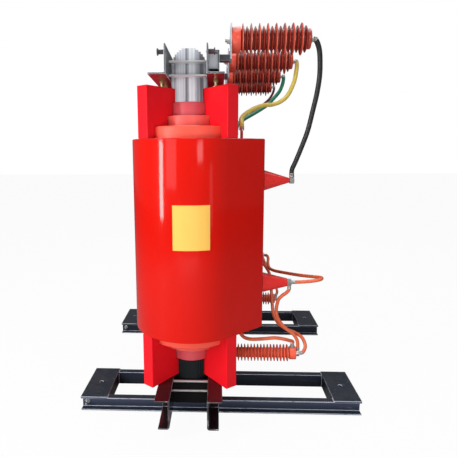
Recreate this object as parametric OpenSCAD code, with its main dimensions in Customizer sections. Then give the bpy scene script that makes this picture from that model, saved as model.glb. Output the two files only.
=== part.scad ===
// Dry-type zigzag grounding transformer with cast-resin coils, in millimetres.
// The coil row runs along Y, the terminal side faces +X, and the floor is Z = 0.
// The origin is on the floor, in the middle of the base frames' outline. The modules below
// are drawn round the middle limb, on top of the base frames, and home() puts them in place.

/* [Base frames] */
// Height of the frames' channels
base_h = 80; // [70:1:120]
// Flange width of the frames' channels
base_flange = 45; // [35:1:60]
// Wall of the frames' channels
base_wall = 7; // [5:0.5:10]
// Reach of a frame from the core to the left
base_left = 660; // [560:5:760]
// Reach of a frame from the core to the right, under the insulators
base_right = 990; // [900:5:1100]
// Depth of one frame along the coil row
base_depth = 360; // [300:5:420]
// Distance between the centres of the two frames
frame_pitch = 1150; // [1050:5:1250]
// Length of the plate that closes each end of a frame
end_plate = 160; // [120:5:200]
// Thickness of the end plates
end_plate_t = 6; // [4:0.5:10]
// Diameter of the anchor hole in each end plate
anchor_d = 22; // [14:1:30]

/* [Core] */
// Distance between the limbs
limb_pitch = 690; // [680:5:760]
// Diameter of the circle round the stepped core
core_d = 200; // [190:1:206]
// Height of the lower yoke's axis over the base frames
yoke_low_z = 104; // [104:1:112]
// Height of the winding's middle over the base frames
winding_z = 982; // [960:1:1010]
// Thickness of the pressboard between core and clamps
pressboard_t = 3; // [2:0.5:5]

/* [Clamps] */
// Height of the lower clamp channels
low_clamp_h = 160; // [150:1:166]
// Width of a lower clamp's top flange
low_top_flange = 80; // [70:1:95]
// Width of a lower clamp's bottom flange
low_bottom_flange = 62; // [55:1:70]
// Length of the lower clamps
low_clamp_len = 2100; // [1950:10:2300]
// Height of the upper clamps' webs
up_clamp_h = 141; // [125:1:150]
// Width of the upper clamps' flange
up_flange = 88; // [80:1:100]
// Length of the upper clamps
up_clamp_len = 1970; // [1900:10:2100]
// Plate thickness of the clamps
clamp_t = 8; // [6:0.5:12]
// Diameter of the through bolts of the yokes
core_bolt_d = 16; // [12:1:20]
// Diameter of the round rods that tie the lower clamps
tie_rod_d = 14; // [10:1:18]

/* [Windings] */
// Outer radius of the cast outer coil
coil_r = 316; // [300:1:325]
// Radial thickness of the outer coil's wall
coil_wall = 54; // [40:1:60]
// Height of the outer coil
coil_h = 1052; // [900:2:1100]
// Distance of the flat terminal face from the limb's axis
boss_reach = 405; // [385:1:425]
// Width of the flat terminal boss
boss_w = 160; // [150:2:230]
// Corner radius of the terminal boss
boss_corner = 22; // [10:1:40]
// Outer radius of the inner winding
inner_r = 245; // [225:1:252]
// Radial thickness of the inner winding
inner_wall = 80; // [60:1:85]
// Height of the inner winding
inner_h = 1178; // [1100:2:1200]
// Outer radius of the barrier tube
barrier_r = 149; // [140:1:155]
// Wall of the barrier tube
barrier_wall = 22; // [10:1:26]
// Height of the barrier tube
barrier_h = 1294; // [1240:2:1310]
// Outer radius of the limb tube
tube_r = 110; // [108:1:114]
// Wall of the limb tube
tube_wall = 6; // [3:0.5:7]
// Height of the limb tube
tube_h = 1434; // [1380:2:1440]

/* [Terminals of the coils] */
// Length of the front coil's terminal cones
cone_len = 145; // [100:5:180]
// Length of the terminal cones on the middle and rear coils
short_cone_len = 55; // [40:5:80]
// Diameter of a cone at its foot
cone_root_d = 118; // [90:1:130]
// Tip diameter of the upper cones
cone_up_tip_d = 24; // [20:1:40]
// Tip diameter of the lower cones
cone_low_tip_d = 46; // [30:1:60]
// Height of the upper cones over the winding's middle
cone_up = 300; // [250:1:400]
// Depth of the lower cones under the winding's middle
cone_low = 284; // [250:1:400]

/* [Support blocks] */
// Thickness of the support blocks
block_t = 70; // [60:1:86]
// Reach of the blocks from the limb's axis
block_reach = 304; // [290:1:324]
// Angle of the blocks from the terminal direction
block_angle = 53; // [50:1:56]
// Sideways shift of a block's middle plane from the limb's axis
block_shift = 58; // [46:1:64]
// Distance of the blocks' notched inner ends from the limb's axis
block_in = 84; // [80:1:92]
// Free height between an upper block and the upper clamp's flange
press_gap = 38; // [30:1:60]
// Diameter of the press bolts
press_d = 14; // [12:1:24]

/* [Upper post insulators] */
// Distance between the upper insulators
ins_pitch = 553; // [480:1:580]
// Height of the upper insulators' axes over the rail
ins_rise = 68; // [50:1:100]
// Distance of an insulator's foot from the core's plane
ins_foot_x = 221; // [210:1:240]
// Foot diameter
ins_foot_d = 128; // [110:1:134]
// Length of the plain foot
ins_foot_len = 46; // [35:1:60]
// Number of large sheds
ins_sheds = 8; // [5:1:9]
// Distance from one large shed to the next
ins_shed_pitch = 41.5; // [36:0.5:44]
// Diameter of the large sheds
ins_shed_d = 157; // [140:1:170]
// Diameter of the small sheds
ins_small_d = 128; // [110:1:134]
// Diameter of the stem between the sheds
ins_stem_d = 96; // [80:1:104]
// Diameter of the end cap
ins_cap_d = 98; // [70:1:120]
// Length of the end cap
ins_cap_len = 16; // [12:1:34]

/* [Lower post insulators] */
// Height of the lower insulators' axes over the lower clamp's flange
low_ins_rise = 110; // [95:1:130]
// Place of the rear lower insulator along the row
low_ins_rear_y = 300; // [300:5:380]
// Number of sheds
low_ins_sheds = 17; // [12:1:17]
// Distance from one shed to the next
low_ins_pitch = 19; // [18:0.5:20]
// Diameter of the sheds
low_ins_shed_d = 98; // [85:1:104]
// Diameter of the stem, the foot and the cap
low_ins_stem_d = 74; // [60:1:80]

/* [Leads] */
// Diameter of the insulated leads
lead_d = 26; // [18:1:27]
// Diameter of the thin lower leads
thin_lead_d = 20; // [14:1:22]

/* [Hidden] */
$fn = 64;

// Limbs, from the front one to the rear one
limbs = [-limb_pitch, 0, limb_pitch];
FRONT = limbs[0];
MIDDLE = limbs[1];
REAR = limbs[2];
core_r = core_d / 2;
core_rise = 16;
yoke_up_z = 2 * winding_z - yoke_low_z + core_rise;
cone_up_z = winding_z + cone_up;
cone_low_z = winding_z - cone_low;
// Half thickness of each packet of sheets, as a share of the core's radius
packets = [for (share = [0.36, 0.5, 0.62, 0.73, 0.82, 0.9, 0.95]) share * core_r];
stack_half = packets[len(packets) - 1];
web_x = stack_half + pressboard_t;
web_out = web_x + clamp_t;
// Overlap of welded plates, and the length of a tool that bores through the whole part
touch = 0.3;
through = 400;
ring_fn = 96;

// Heights that follow from one another, over the base frames
flange_drop = 50 + core_rise;
low_flange_z = low_clamp_h;
up_flange_z = yoke_up_z - flange_drop;
up_web_top = up_flange_z + up_clamp_h;
block_bottom_z = low_flange_z;
block_top_z = up_flange_z - press_gap;
coil_half = coil_h / 2;
inner_half = inner_h / 2;
barrier_half = barrier_h / 2;
tube_half = tube_h / 2;

// Ribs and gussets of the clamps, and their pressboard
low_rib_y = 150;
up_gusset = 42;
up_gusset_y = 70;
pressboard_h = 90;
end_board_t = 6;
end_board_z = 2;
end_board_h = low_clamp_h - 12;

// Places and sizes of the fasteners
frame_ys = [-frame_pitch / 2, frame_pitch / 2];
channel_ys = [for (y = frame_ys, s = [-1, 1]) y + s * (base_depth - base_flange) / 2];
frame_bolt_x = web_out + (low_bottom_flange - clamp_t) / 2;
frame_bolt_d = 16;
anchor_xs = [-base_left + end_plate / 2, base_right - end_plate / 2];
earth_d = 12;
earth_len = 36;
earth_x = 30 - base_left;
earth_y = base_flange - (base_depth + base_wall) / 2;
core_bolt_ys = [-limb_pitch / 2, limb_pitch / 2];
yoke_end = limb_pitch + core_r;
tie_rod_y = yoke_end + tie_rod_d / 2 + 2;
tie_nut_d = 22;
tie_rod_top = low_flange_z - clamp_t - tie_nut_d / 2 - 1;
tie_rod_zs = [tie_rod_top, tie_rod_top - 58];
tie_bar_h = 10;
tie_bar_depth = 38;
tie_bar_y = yoke_end + tie_bar_depth / 2 - 4;
tie_bar_low = 18;
tie_bar_step = 69;
tie_bar_zs = [up_flange_z + tie_bar_low, up_flange_z + tie_bar_low + tie_bar_step];
tie_bolt_d = 8;
tie_bolt_len = 30;
pin_d = 28;
pin_len = 34;
pin_shank_d = pin_d / 2;
pin_y = up_clamp_len / 2 - 22;
pin_z = up_web_top - 36;
press_u = 158;
core_gap = 1.5;
pad_t = 6;
nut_h = 10;

// Rail and brackets of the upper insulators
rail_w = 54;
rail_h = 92;
rail_top = up_web_top - 24;
rail_inset = 45;
rail_len = up_clamp_len - 2 * rail_inset;
rail_gusset_y = 60;
rail_out = web_out + rail_w;
plate_t = 6;
bracket_w = 130;
arm_h = 30;
arm_w = 60;
arm_z = rail_top - 35;
ins_ys = [for (i = [-1.5, -0.5, 0.5, 1.5]) i * ins_pitch];
ins_shed_start = ins_foot_x + ins_foot_len + 4;
ins_cap_x = ins_shed_start + ins_sheds * ins_shed_pitch - 5;
ins_tip_x = ins_cap_x + ins_cap_len;
ins_z = rail_top + ins_rise;
ins_stud_d = 20;
foot_nut_d = 30;
tip_nut_d = 34;
tip_nut_h = 10;
low_tip_nut_h = 20;

// Lower insulators
low_ins_ys = [FRONT, low_ins_rear_y];
low_ins_z = low_flange_z + low_ins_rise;
low_foot_x = ins_foot_x;
low_ins_start = low_foot_x + 26;
low_ins_cap_x = low_ins_start + low_ins_sheds * low_ins_pitch + 2;
low_ins_tip_x = low_ins_cap_x + 38;
side_stud_x = low_ins_cap_x + 18;
side_stud_d = 28;
side_stud_h = 8;
side_stud_foot = low_ins_stem_d / 2 - 5;
low_plate_w = 84;

// Terminals
long_tip_x = boss_reach + cone_len;
short_tip_x = boss_reach + short_cone_len;
cone_nut_d = 36;
cone_nut_h = 24;
stub_r = coil_r - 33;
stub_d = 16;
stub_h = 48;
stub_top = winding_z + coil_half + stub_h;
stub_bottom = winding_z - coil_half - stub_h;

// Routes of the leads, chosen by hand as round numbers over the base frames.
// Upper leads run from an insulator's tip nut to a terminal of a coil.
lead_x = ins_tip_x + tip_nut_h;
black_route = [
    [lead_x, -1.5 * ins_pitch, ins_z], [lead_x + 12, -1.5 * ins_pitch, ins_z - 1],
    [650, -827, 1976], [664, -815, 1940], [671, -805, 1885],
    [674, -790, 1820], [668, -770, 1740], [654, -750, 1655], [634, -730, 1550], [606, -712, 1460],
    [578, -698, 1382], [long_tip_x + 12, FRONT, 1340], [long_tip_x + 12, FRONT, cone_up_z + cone_nut_d / 2]
];
yellow_route = [
    [lead_x, -0.5 * ins_pitch, ins_z], [lead_x + 12, -0.5 * ins_pitch, ins_z - 1],
    [643, -277, 1972], [640, -278, 1932], [628, -280, 1870],
    [592, -290, 1792], [547, -310, 1750], [493, -335, 1728], [437, -370, 1720], [380, -420, 1700],
    [330, -490, 1670], [298, -570, 1642], [stub_r, -650, stub_top + 60],
    [stub_r, FRONT, stub_top + 32], [stub_r, FRONT, stub_top]
];
green_route = [
    [lead_x, 0.5 * ins_pitch, ins_z], [lead_x + 12, 0.5 * ins_pitch, ins_z - 1],
    [640, 277, 1970], [632, 276, 1930], [611, 272, 1882],
    [567, 260, 1830], [520, 235, 1782], [461, 200, 1742], [400, 150, 1705], [345, 95, 1672],
    [stub_r + 14, 40, stub_top + 76], [stub_r, MIDDLE, stub_top + 36], [stub_r, MIDDLE, stub_top]
];
red_route = [
    [lead_x, 1.5 * ins_pitch, ins_z], [lead_x + 12, 1.5 * ins_pitch, ins_z - 1],
    [637, 829, 1970], [625, 828, 1932], [598, 822, 1890],
    [550, 810, 1847], [498, 790, 1806], [444, 762, 1762], [380, 735, 1715], [325, 712, 1662],
    [stub_r + 4, REAR, stub_top + 54], [stub_r, REAR, stub_top]
];
// Lower leads run from the coils' lower terminals to the lower insulators
return_route = [
    [long_tip_x + cone_nut_h, FRONT, cone_low_z], [630, FRONT, 700], [690, -689, 705], [730, -686, 711],
    [752, -668, 714], [752, -640, 713], [732, -605, 706], [655, -520, 692], [580, -410, 677],
    [522, -310, 665], [502, -220, 661], [503, -130, 672], [512, -62, 688], [507, -18, 697],
    [short_tip_x + cone_nut_h, MIDDLE, cone_low_z]
];
front_drop_route = [
    [long_tip_x + 12, FRONT, cone_low_z - cone_nut_d / 2],
    [562, -692, 655], [546, -700, 638], [520, -704, 620], [500, -700, 590], [492, -696, 520],
    [512, -694, 465], [550, -692, 420], [592, -691, 388], [618, FRONT, 345],
    [low_ins_tip_x + 12, FRONT, 300], [low_ins_tip_x + 12, FRONT, low_ins_z + tip_nut_d / 2]
];
middle_drop_route = [
    [short_tip_x + 12, MIDDLE, cone_low_z - cone_nut_d / 2], [short_tip_x + 12, MIDDLE, 662],
    [479, -22, 642], [495, -90, 628], [508, -190, 608], [505, -330, 545], [500, -430, 490],
    [500, -510, 440], [520, -570, 408], [560, -610, 386], [612, -636, 372], [652, -655, 350],
    [668, -678, 310], [656, -689, 278],
    [low_ins_tip_x + low_tip_nut_h + 12, FRONT, low_ins_z],
    [low_ins_tip_x + low_tip_nut_h, FRONT, low_ins_z]
];
bottom_route = [
    [stub_r, FRONT, stub_bottom], [288, -694, stub_bottom - 22], [310, -704, stub_bottom - 41],
    [350, -716, 362],
    [420, -730, 372], [480, -735, 380], [530, -730, 372], [566, -712, 356], [side_stud_x, FRONT, 340],
    [side_stud_x, FRONT, low_ins_z + low_ins_stem_d / 2 + side_stud_h + 12],
    [side_stud_x, FRONT, low_ins_z + low_ins_stem_d / 2 + side_stud_h]
];
rear_drop_route = [
    [short_tip_x + 12, REAR, cone_low_z - cone_nut_d / 2], [short_tip_x + 12, REAR, 668],
    [478, 682, 646], [500, 655, 618], [536, 580, 550], [570, 490, 470], [602, 410, 400],
    [628, 345, 345], [632, 310, 318], [low_ins_tip_x + 12, low_ins_rear_y, 300],
    [low_ins_tip_x + 12, low_ins_rear_y, low_ins_z + tip_nut_d / 2]
];

// Puts what is drawn round the middle limb, on top of the frames, at its place over the floor
module home() {
    translate([(base_left - base_right) / 2, 0, base_h]) children();
}

// Its mirror image on the left side, where s is -1
module side(s) {
    mirror([s < 0 ? 1 : 0, 0, 0]) children();
}

// A cylinder along X, from x0 to x1, round the point y, z
module rod_x(x0, x1, y, z, d, fn = 32) {
    translate([x0, y, z]) rotate([0, 90, 0]) cylinder(h = x1 - x0, d = d, $fn = fn);
}

// A hexagon nut along X, measured across its flats, one of which is on top
module nut_x(x0, h, y, z, flats) {
    translate([x0, y, z]) rotate([0, 90, 0]) rotate([0, 0, 30])
        cylinder(h = h, d = flats / cos(30), $fn = 6);
}

// A bore along X through everything at the point y, z
module bore_x(y, z, d) {
    rod_x(-through, through, y, z, d, 48);
}

// A hexagon nut standing along Z
module nut_z(x, y, z, h, flats) {
    translate([x, y, z]) cylinder(h = h, d = flats / cos(30), $fn = 6);
}

// A box given by its two corners
module block(a, b) {
    translate(a) cube(b - a);
}

// Points of an arc, used to round the corner of an outline
function arc(c, r, a0, a1, n = 5) =
    [for (i = [0:n]) c + r * [cos(a0 + (a1 - a0) * i / n), sin(a0 + (a1 - a0) * i / n)]];

// Unit vector of v
function unit(v) = v / norm(v);

// Point on a smooth curve through the route's points a, b, c, d, at t between b and c
function blend(a, b, c, d, t) =
    0.5 * (2 * b + (c - a) * t + (2 * a - 5 * b + 4 * c - d) * t ^ 2 + (3 * b - a - 3 * c + d) * t ^ 3);

// All points of the smooth curve, with k steps from each point of the route to the next
function smooth(p, k) = let (n = len(p)) concat(
    [for (i = [0:n - 2], j = [0:k - 1])
        blend(p[max(i - 1, 0)], p[i], p[i + 1], p[min(i + 2, n - 1)], j / k)],
    [p[n - 1]]);

// Direction of the curve at each point; the ends keep the route's own end directions
function directions(q, first, last) = let (n = len(q))
    [for (i = [0:n - 1]) i == 0 ? first : i == n - 1 ? last : unit(q[i + 1] - q[i - 1])];

// A side vector for each ring, carried along so that the tube doesn't twist
function sides_along(t) = let (s0 = unit(cross(t[0], abs(t[0][1]) < 0.9 ? [0, 1, 0] : [1, 0, 0])))
    [for (i = 0, s = s0; i < len(t);
        s = i + 1 < len(t) ? unit(s - (s * t[i + 1]) * t[i + 1]) : s, i = i + 1) s];

// A round tube of diameter d swept along a route, closed at both ends
module lead(route, d, first, last, k = 4, sides = 10) {
    q = smooth(route, k);
    t = directions(q, first, last);
    s = sides_along(t);
    n = len(q);
    points = [for (i = [0:n - 1], j = [0:sides - 1]) let (a = 360 * j / sides)
        q[i] + d / 2 * (cos(a) * s[i] + sin(a) * cross(t[i], s[i]))];
    skin = [for (i = [0:n - 2], j = [0:sides - 1]) let (m = (j + 1) % sides)
        [i * sides + j, (i + 1) * sides + j, (i + 1) * sides + m, i * sides + m]];
    start = [for (j = [0:sides - 1]) j];
    end = [for (j = [0:sides - 1]) n * sides - 1 - j];
    polyhedron(points, concat([start], skin, [end]));
}

// One channel along X, its flanges turned to the side s of its web
module base_channel(s) {
    edge = s * base_flange;
    wall = s * base_wall;
    rotate([90, 0, 90]) translate([0, 0, -base_left]) linear_extrude(base_left + base_right)
        polygon([
            [0, 0], [edge, 0], [edge, base_wall], [wall, base_wall],
            [wall, base_h - base_wall], [edge, base_h - base_wall], [edge, base_h], [0, base_h]
        ]);
}

// Frame of two channels, back to back, closed by a plate at each end
module base_frame(y) {
    web_y = base_depth / 2 - base_flange;
    color("#26282b") translate([0, y, -base_h]) difference() {
        union() {
            for (s = [-1, 1]) translate([0, s * web_y, 0]) base_channel(s);
            for (x = [-base_left, base_right - end_plate])
                block([x, -base_depth / 2, base_h - touch],
                    [x + end_plate, base_depth / 2, base_h + end_plate_t]);
            // Cross members under the end plates join the two channels
            for (x = [-base_left + end_plate - base_wall, base_right - end_plate])
                block([x, -web_y, 0], [x + base_wall, web_y, base_h]);
        }
        for (x = anchor_xs) translate([x, 0, base_h / 2]) cylinder(h = base_h, d = anchor_d, $fn = 48);
        for (x = [-frame_bolt_x, frame_bolt_x], s = [-1, 1])
            translate([x, s * (base_depth - base_flange) / 2, base_h / 2])
                cylinder(h = base_h, d = frame_bolt_d + 1, $fn = 48);
        translate([earth_x, earth_y, base_h / 2]) rotate([90, 0, 0])
            cylinder(h = 2 * base_wall, d = earth_d, center = true, $fn = 48);
    }
}

module front_base_frame() home() base_frame(frame_ys[0]);
module rear_base_frame() home() base_frame(frame_ys[1]);

// Earthing stud through the front web of each frame, with a washer and a nut
module earth_studs() color("silver") home() for (y = frame_ys)
    translate([earth_x, y + earth_y - base_wall / 2, -base_h / 2]) rotate([90, 0, 0]) {
        translate([0, 0, -2 * base_wall]) cylinder(h = 2 * base_wall + earth_len, d = earth_d, $fn = 48);
        cylinder(h = 3, d = 2.5 * earth_d, $fn = 48);
        cylinder(h = 14, d = 1.8 * earth_d, $fn = 6);
    }

// Bolts that hold the lower clamps on the frames
module frame_bolts() color("silver") home() for (x = [-frame_bolt_x, frame_bolt_x], y = channel_ys) {
    translate([x, y, -base_wall - 16]) cylinder(h = base_wall + clamp_t + 32, d = frame_bolt_d, $fn = 32);
    nut_z(x, y, clamp_t, 12, 1.6 * frame_bolt_d);
    nut_z(x, y, -base_wall - 12, 12, 1.6 * frame_bolt_d);
}

// Outline of a lower clamp, bent from plate, with its web at x = 0
bend_r = 1.8 * clamp_t;
low_outline = concat(
    [[low_top_flange, low_clamp_h], [0, low_clamp_h]],
    arc([bend_r, bend_r], bend_r, 180, 270),
    arc([low_bottom_flange - clamp_t / 2, clamp_t / 2], clamp_t / 2, 270, 360, 3),
    [[low_bottom_flange, clamp_t]],
    arc([bend_r, bend_r], bend_r - clamp_t, 270, 180),
    [[clamp_t, low_clamp_h - clamp_t], [low_top_flange, low_clamp_h - clamp_t]]);

// Lower clamp on the side s, with ribs welded in between its flanges
module lower_clamp(s) {
    color("#1d1d1f") difference() {
        side(s) translate([web_x, 0, 0]) union() {
            translate([0, low_clamp_len / 2, 0]) rotate([90, 0, 0]) linear_extrude(low_clamp_len)
                polygon(low_outline);
            for (y = limbs, d = [-low_rib_y, low_rib_y])
                block([clamp_t - touch, y + d - clamp_t / 2, clamp_t - touch],
                    [low_bottom_flange, y + d + clamp_t / 2, low_clamp_h - clamp_t + touch]);
        }
        for (y = [-tie_rod_y, tie_rod_y], z = tie_rod_zs) bore_x(y, z, tie_rod_d + 1);
        for (y = core_bolt_ys) bore_x(y, yoke_low_z, core_bolt_d + 1);
        for (y = channel_ys) translate([s * frame_bolt_x, y, -1])
            cylinder(h = clamp_t + 2, d = frame_bolt_d + 1, $fn = 48);
    }
}

module lower_clamp_left() home() lower_clamp(-1);
module lower_clamp_right() home() lower_clamp(1);

// Upper clamp on the side s: a web with one flange under it and gussets between them
module upper_clamp(s) {
    half = up_clamp_len / 2;
    color("#33363a") difference() {
        side(s) union() {
            block([web_x, -half, up_flange_z], [web_out, half, up_web_top]);
            block([web_x, -half, up_flange_z], [web_x + up_flange, half, up_flange_z + clamp_t]);
            for (y = core_bolt_ys, d = [-up_gusset_y, up_gusset_y])
                translate([web_out - touch, y + d + clamp_t / 2, up_flange_z + clamp_t - touch])
                    rotate([90, 0, 0]) linear_extrude(clamp_t)
                        polygon([[0, 0], [up_gusset, 0], [up_gusset, clamp_t], [0, 1.6 * up_gusset]]);
        }
        for (y = limbs, a = [-1, 1]) let (p = press_point(y, s, a))
            translate([p[0], p[1], up_flange_z - 1]) cylinder(h = clamp_t + 2, d = press_d + 1, $fn = 48);
        for (y = [-tie_bar_y, tie_bar_y], z = tie_bar_zs) bore_x(y, z, tie_bolt_d + 1);
        for (y = core_bolt_ys) bore_x(y, yoke_up_z, core_bolt_d + 1);
        for (y = [-pin_y, pin_y]) bore_x(y, pin_z, pin_shank_d + 1);
    }
}

module upper_clamp_left() home() upper_clamp(-1);
module upper_clamp_right() home() upper_clamp(1);

// Pressboard strips between the webs and the core
module pressboard(z) color("#c9b48a") for (s = [-1, 1]) difference() {
    half = pressboard_h / 2;
    side(s) block([stack_half, -limb_pitch, z - half], [web_x, limb_pitch, z + half]);
    for (y = core_bolt_ys) bore_x(y, z, core_bolt_d + 1);
}
// The lower yoke's ends are closed by a board behind the tie rods
module lower_pressboard() home() {
    pressboard(yoke_low_z);
    for (s = [-1, 1]) let (y = s * (yoke_end - 0.5 - end_board_t / 2))
        color("#17181a") block([-web_x, y - end_board_t / 2, end_board_z],
            [web_x, y + end_board_t / 2, end_board_h]);
}
module upper_pressboard() home() pressboard(yoke_up_z);

// Bolts through both clamps and a yoke
module core_bolts() color("silver") home() for (y = core_bolt_ys, z = [yoke_low_z, yoke_up_z]) {
    rod_x(-web_out - 26, web_out + 26, y, z, core_bolt_d);
    for (s = [-1, 1]) side(s) {
        rod_x(web_out, web_out + 3, y, z, 2.2 * core_bolt_d);
        nut_x(web_out, 16, y, z, 1.6 * core_bolt_d);
    }
}

// Round rods in front of and behind the lower yoke
module lower_tie_rods() color("gainsboro") home() for (y = [-tie_rod_y, tie_rod_y], z = tie_rod_zs) {
    rod_x(-web_out - 22, web_out + 22, y, z, tie_rod_d);
    for (s = [-1, 1]) side(s) nut_x(web_out, 11, y, z, tie_nut_d);
}

// Flat bars in front of and behind the upper yoke, with a bow cut round the core
module upper_tie_bars() color("gainsboro") home() for (s = [-1, 1], z = tie_bar_zs) difference() {
    block([-web_x, s * tie_bar_y - tie_bar_depth / 2, z - tie_bar_h / 2],
        [web_x, s * tie_bar_y + tie_bar_depth / 2, z + tie_bar_h / 2]);
    translate([0, s * limb_pitch, z - tie_bar_h]) cylinder(h = 2 * tie_bar_h, r = core_r + 1, $fn = ring_fn);
    for (e = [-1, 1]) side(e) rod_x(web_x - tie_bolt_len, through, s * tie_bar_y, z, tie_bolt_d + 0.6, 48);
}

// Bolts through the webs into the ends of the flat bars
module tie_bar_bolts() color("silver") home()
    for (y = [-tie_bar_y, tie_bar_y], z = tie_bar_zs, s = [-1, 1]) side(s) {
        rod_x(web_x - tie_bolt_len + 1, web_out + 2, y, z, tie_bolt_d);
        nut_x(web_out, 7, y, z, 1.75 * tie_bolt_d);
    }

// Pins for slings at the four ends of the upper clamps
module lifting_pins() color("#33363a") home() for (y = [-pin_y, pin_y], s = [-1, 1]) side(s) {
    rod_x(web_x - 2, web_out + 2, y, pin_z, pin_shank_d);
    rod_x(web_out, web_out + pin_len, y, pin_z, pin_d - 6);
    rod_x(web_out + pin_len - 6, web_out + pin_len, y, pin_z, pin_d + 6);
}

// Outline of the stepped core: one corner for each packet in a quarter, then its mirror images
quarter = [for (i = [0:len(packets) - 1]) let (w = sqrt(core_r ^ 2 - packets[i] ^ 2))
    each i == 0 ? [[packets[0], w]] : [[packets[i - 1], w], [packets[i], w]]];
last_corner = len(quarter) - 1;
core_outline = concat(
    quarter,
    [for (i = [last_corner:-1:0]) [quarter[i][0], -quarter[i][1]]],
    [for (p = quarter) -p],
    [for (i = [last_corner:-1:0]) [-quarter[i][0], quarter[i][1]]]);
core_w = quarter[0][1];

// Cuts away all that lies past a plane through y, z, tilted by the angle a round the X axis
module mitre(y, z, a) {
    translate([0, y, z]) rotate([a, 0, 0]) translate([-core_r, -2 * core_r, 0])
        cube([2 * core_r, 4 * core_r, 3 * core_r]);
}

// Stepped bar of a limb at y, reaching past both yokes' axes by the length e
module limb_bar(y, e) {
    translate([0, y, yoke_low_z - e]) linear_extrude(yoke_up_z - yoke_low_z + 2 * e) polygon(core_outline);
}

// Outer limb at the side s, cut at 45 degrees where it meets the yokes
module outer_limb(s) color("#b9bcc0") difference() {
    limb_bar(s * limb_pitch, core_w);
    mitre(s * limb_pitch, yoke_low_z, s * 135);
    mitre(s * limb_pitch, yoke_up_z, s * 45);
}

// Middle limb with pointed ends that fill the yokes' notches
module middle_limb() color("#b9bcc0") home() difference() {
    limb_bar(0, 0);
    for (s = [-1, 1]) {
        mitre(0, yoke_low_z, s * 135);
        mitre(0, yoke_up_z, s * 45);
    }
}

// Lower yoke, mitred at its ends, with a notch for the middle limb
module yoke() difference() {
    translate([0, limb_pitch + core_w, yoke_low_z]) rotate([90, 0, 0])
        linear_extrude(2 * (limb_pitch + core_w)) polygon(core_outline);
    for (s = [-1, 1]) mitre(s * limb_pitch, yoke_low_z, -s * 45);
    translate([-core_r, 0, yoke_low_z]) rotate([45, 0, 0]) cube([2 * core_r, 2 * core_r, 2 * core_r]);
    for (y = core_bolt_ys) bore_x(y, yoke_low_z, core_bolt_d + 1);
}

module front_limb() home() outer_limb(-1);
module rear_limb() home() outer_limb(1);
module lower_yoke() color("#1b1d1e") home() yoke();
module upper_yoke() color("#b9bcc0") home()
    translate([0, 0, yoke_low_z + yoke_up_z]) mirror([0, 0, 1]) yoke();

// Ring of outer radius r, wall w and height h, round the winding's middle
module ring(y, r, w, h, round) {
    inner = r - w;
    translate([0, y, winding_z]) rotate_extrude($fn = ring_fn) union() {
        translate([inner, -h / 2 + round]) square([w, h - 2 * round]);
        translate([inner + round, -h / 2]) square([w - 2 * round, h]);
        for (x = [inner + round, r - round], z = [-h / 2 + round, h / 2 - round])
            translate([x, z]) circle(r = round, $fn = 24);
    }
}

// Direction of the tangent shared by the coil's circle and a corner of its boss
corner_c = [boss_reach - boss_corner, boss_w / 2 - boss_corner];
tangent_a = atan2(corner_c[1], corner_c[0]) + acos((coil_r - boss_corner) / norm(corner_c));
tangent_n = [cos(tangent_a), sin(tangent_a)];

// Plan of the outer coil: a circle that runs out tangentially to the flat boss
module coil_plan() {
    near = coil_r * tangent_n;
    far = corner_c + boss_corner * tangent_n;
    circle(r = coil_r, $fn = 2 * ring_fn);
    polygon([
        [0, 0], [near[0], -near[1]], [far[0], -far[1]], [boss_reach - boss_corner, -corner_c[1]],
        [boss_reach, -corner_c[1]], [boss_reach, corner_c[1]], [boss_reach - boss_corner, corner_c[1]],
        [far[0], far[1]], [near[0], near[1]]
    ]);
    for (s = [-1, 1]) translate([corner_c[0], s * corner_c[1]]) circle(r = boss_corner, $fn = 48);
}

// Cone of a coil's terminal on the flat boss
module terminal_cone(z, len, tip) {
    translate([boss_reach - 1, 0, z]) rotate([0, 90, 0])
        cylinder(h = len + 1, d1 = cone_root_d, d2 = tip, $fn = 48);
}

// Outer coil round the limb at y
module outer_coil(y, len) color("#c8201a") translate([0, y, 0]) {
    difference() {
        translate([0, 0, winding_z - coil_half]) linear_extrude(coil_h) coil_plan();
        translate([0, 0, winding_z - coil_half - 1])
            cylinder(h = coil_h + 2, r = coil_r - coil_wall, $fn = ring_fn);
    }
    terminal_cone(cone_up_z, len, cone_up_tip_d);
    terminal_cone(cone_low_z, len, cone_low_tip_d);
}

module front_coil() home() outer_coil(FRONT, cone_len);
module middle_coil() home() outer_coil(MIDDLE, short_cone_len);
module rear_coil() home() outer_coil(REAR, short_cone_len);

module inner_winding(y) color("#e0401f") ring(y, inner_r, inner_wall, inner_h, 10);
module front_inner_winding() home() inner_winding(FRONT);
module middle_inner_winding() home() inner_winding(MIDDLE);
module rear_inner_winding() home() inner_winding(REAR);

module barrier(y) color("#e0401f") ring(y, barrier_r, barrier_wall, barrier_h, 4);
module front_barrier() home() barrier(FRONT);
module middle_barrier() home() barrier(MIDDLE);
module rear_barrier() home() barrier(REAR);

module limb_tube(y) color("#d3302a") ring(y, tube_r, tube_wall, tube_h, 1);
module front_limb_tube() home() limb_tube(FRONT);
module middle_limb_tube() home() limb_tube(MIDDLE);
module rear_limb_tube() home() limb_tube(REAR);

// Nuts on the terminal cones
module cone_nuts() color("gold") home() {
    for (z = [cone_up_z, cone_low_z]) {
        nut_x(long_tip_x, cone_nut_h, FRONT, z, cone_nut_d);
        for (y = [MIDDLE, REAR]) nut_x(short_tip_x, cone_nut_h, y, z, cone_nut_d);
    }
}

// Copper stubs where the windings' ends leave the coils' faces
module winding_stubs() color("#8a4a2a") home() {
    for (y = limbs) translate([stub_r, y, winding_z + coil_half]) cylinder(h = stub_h, d = stub_d, $fn = 32);
    translate([stub_r, FRONT, winding_z - coil_half - stub_h]) cylinder(h = stub_h, d = stub_d, $fn = 32);
}

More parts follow.
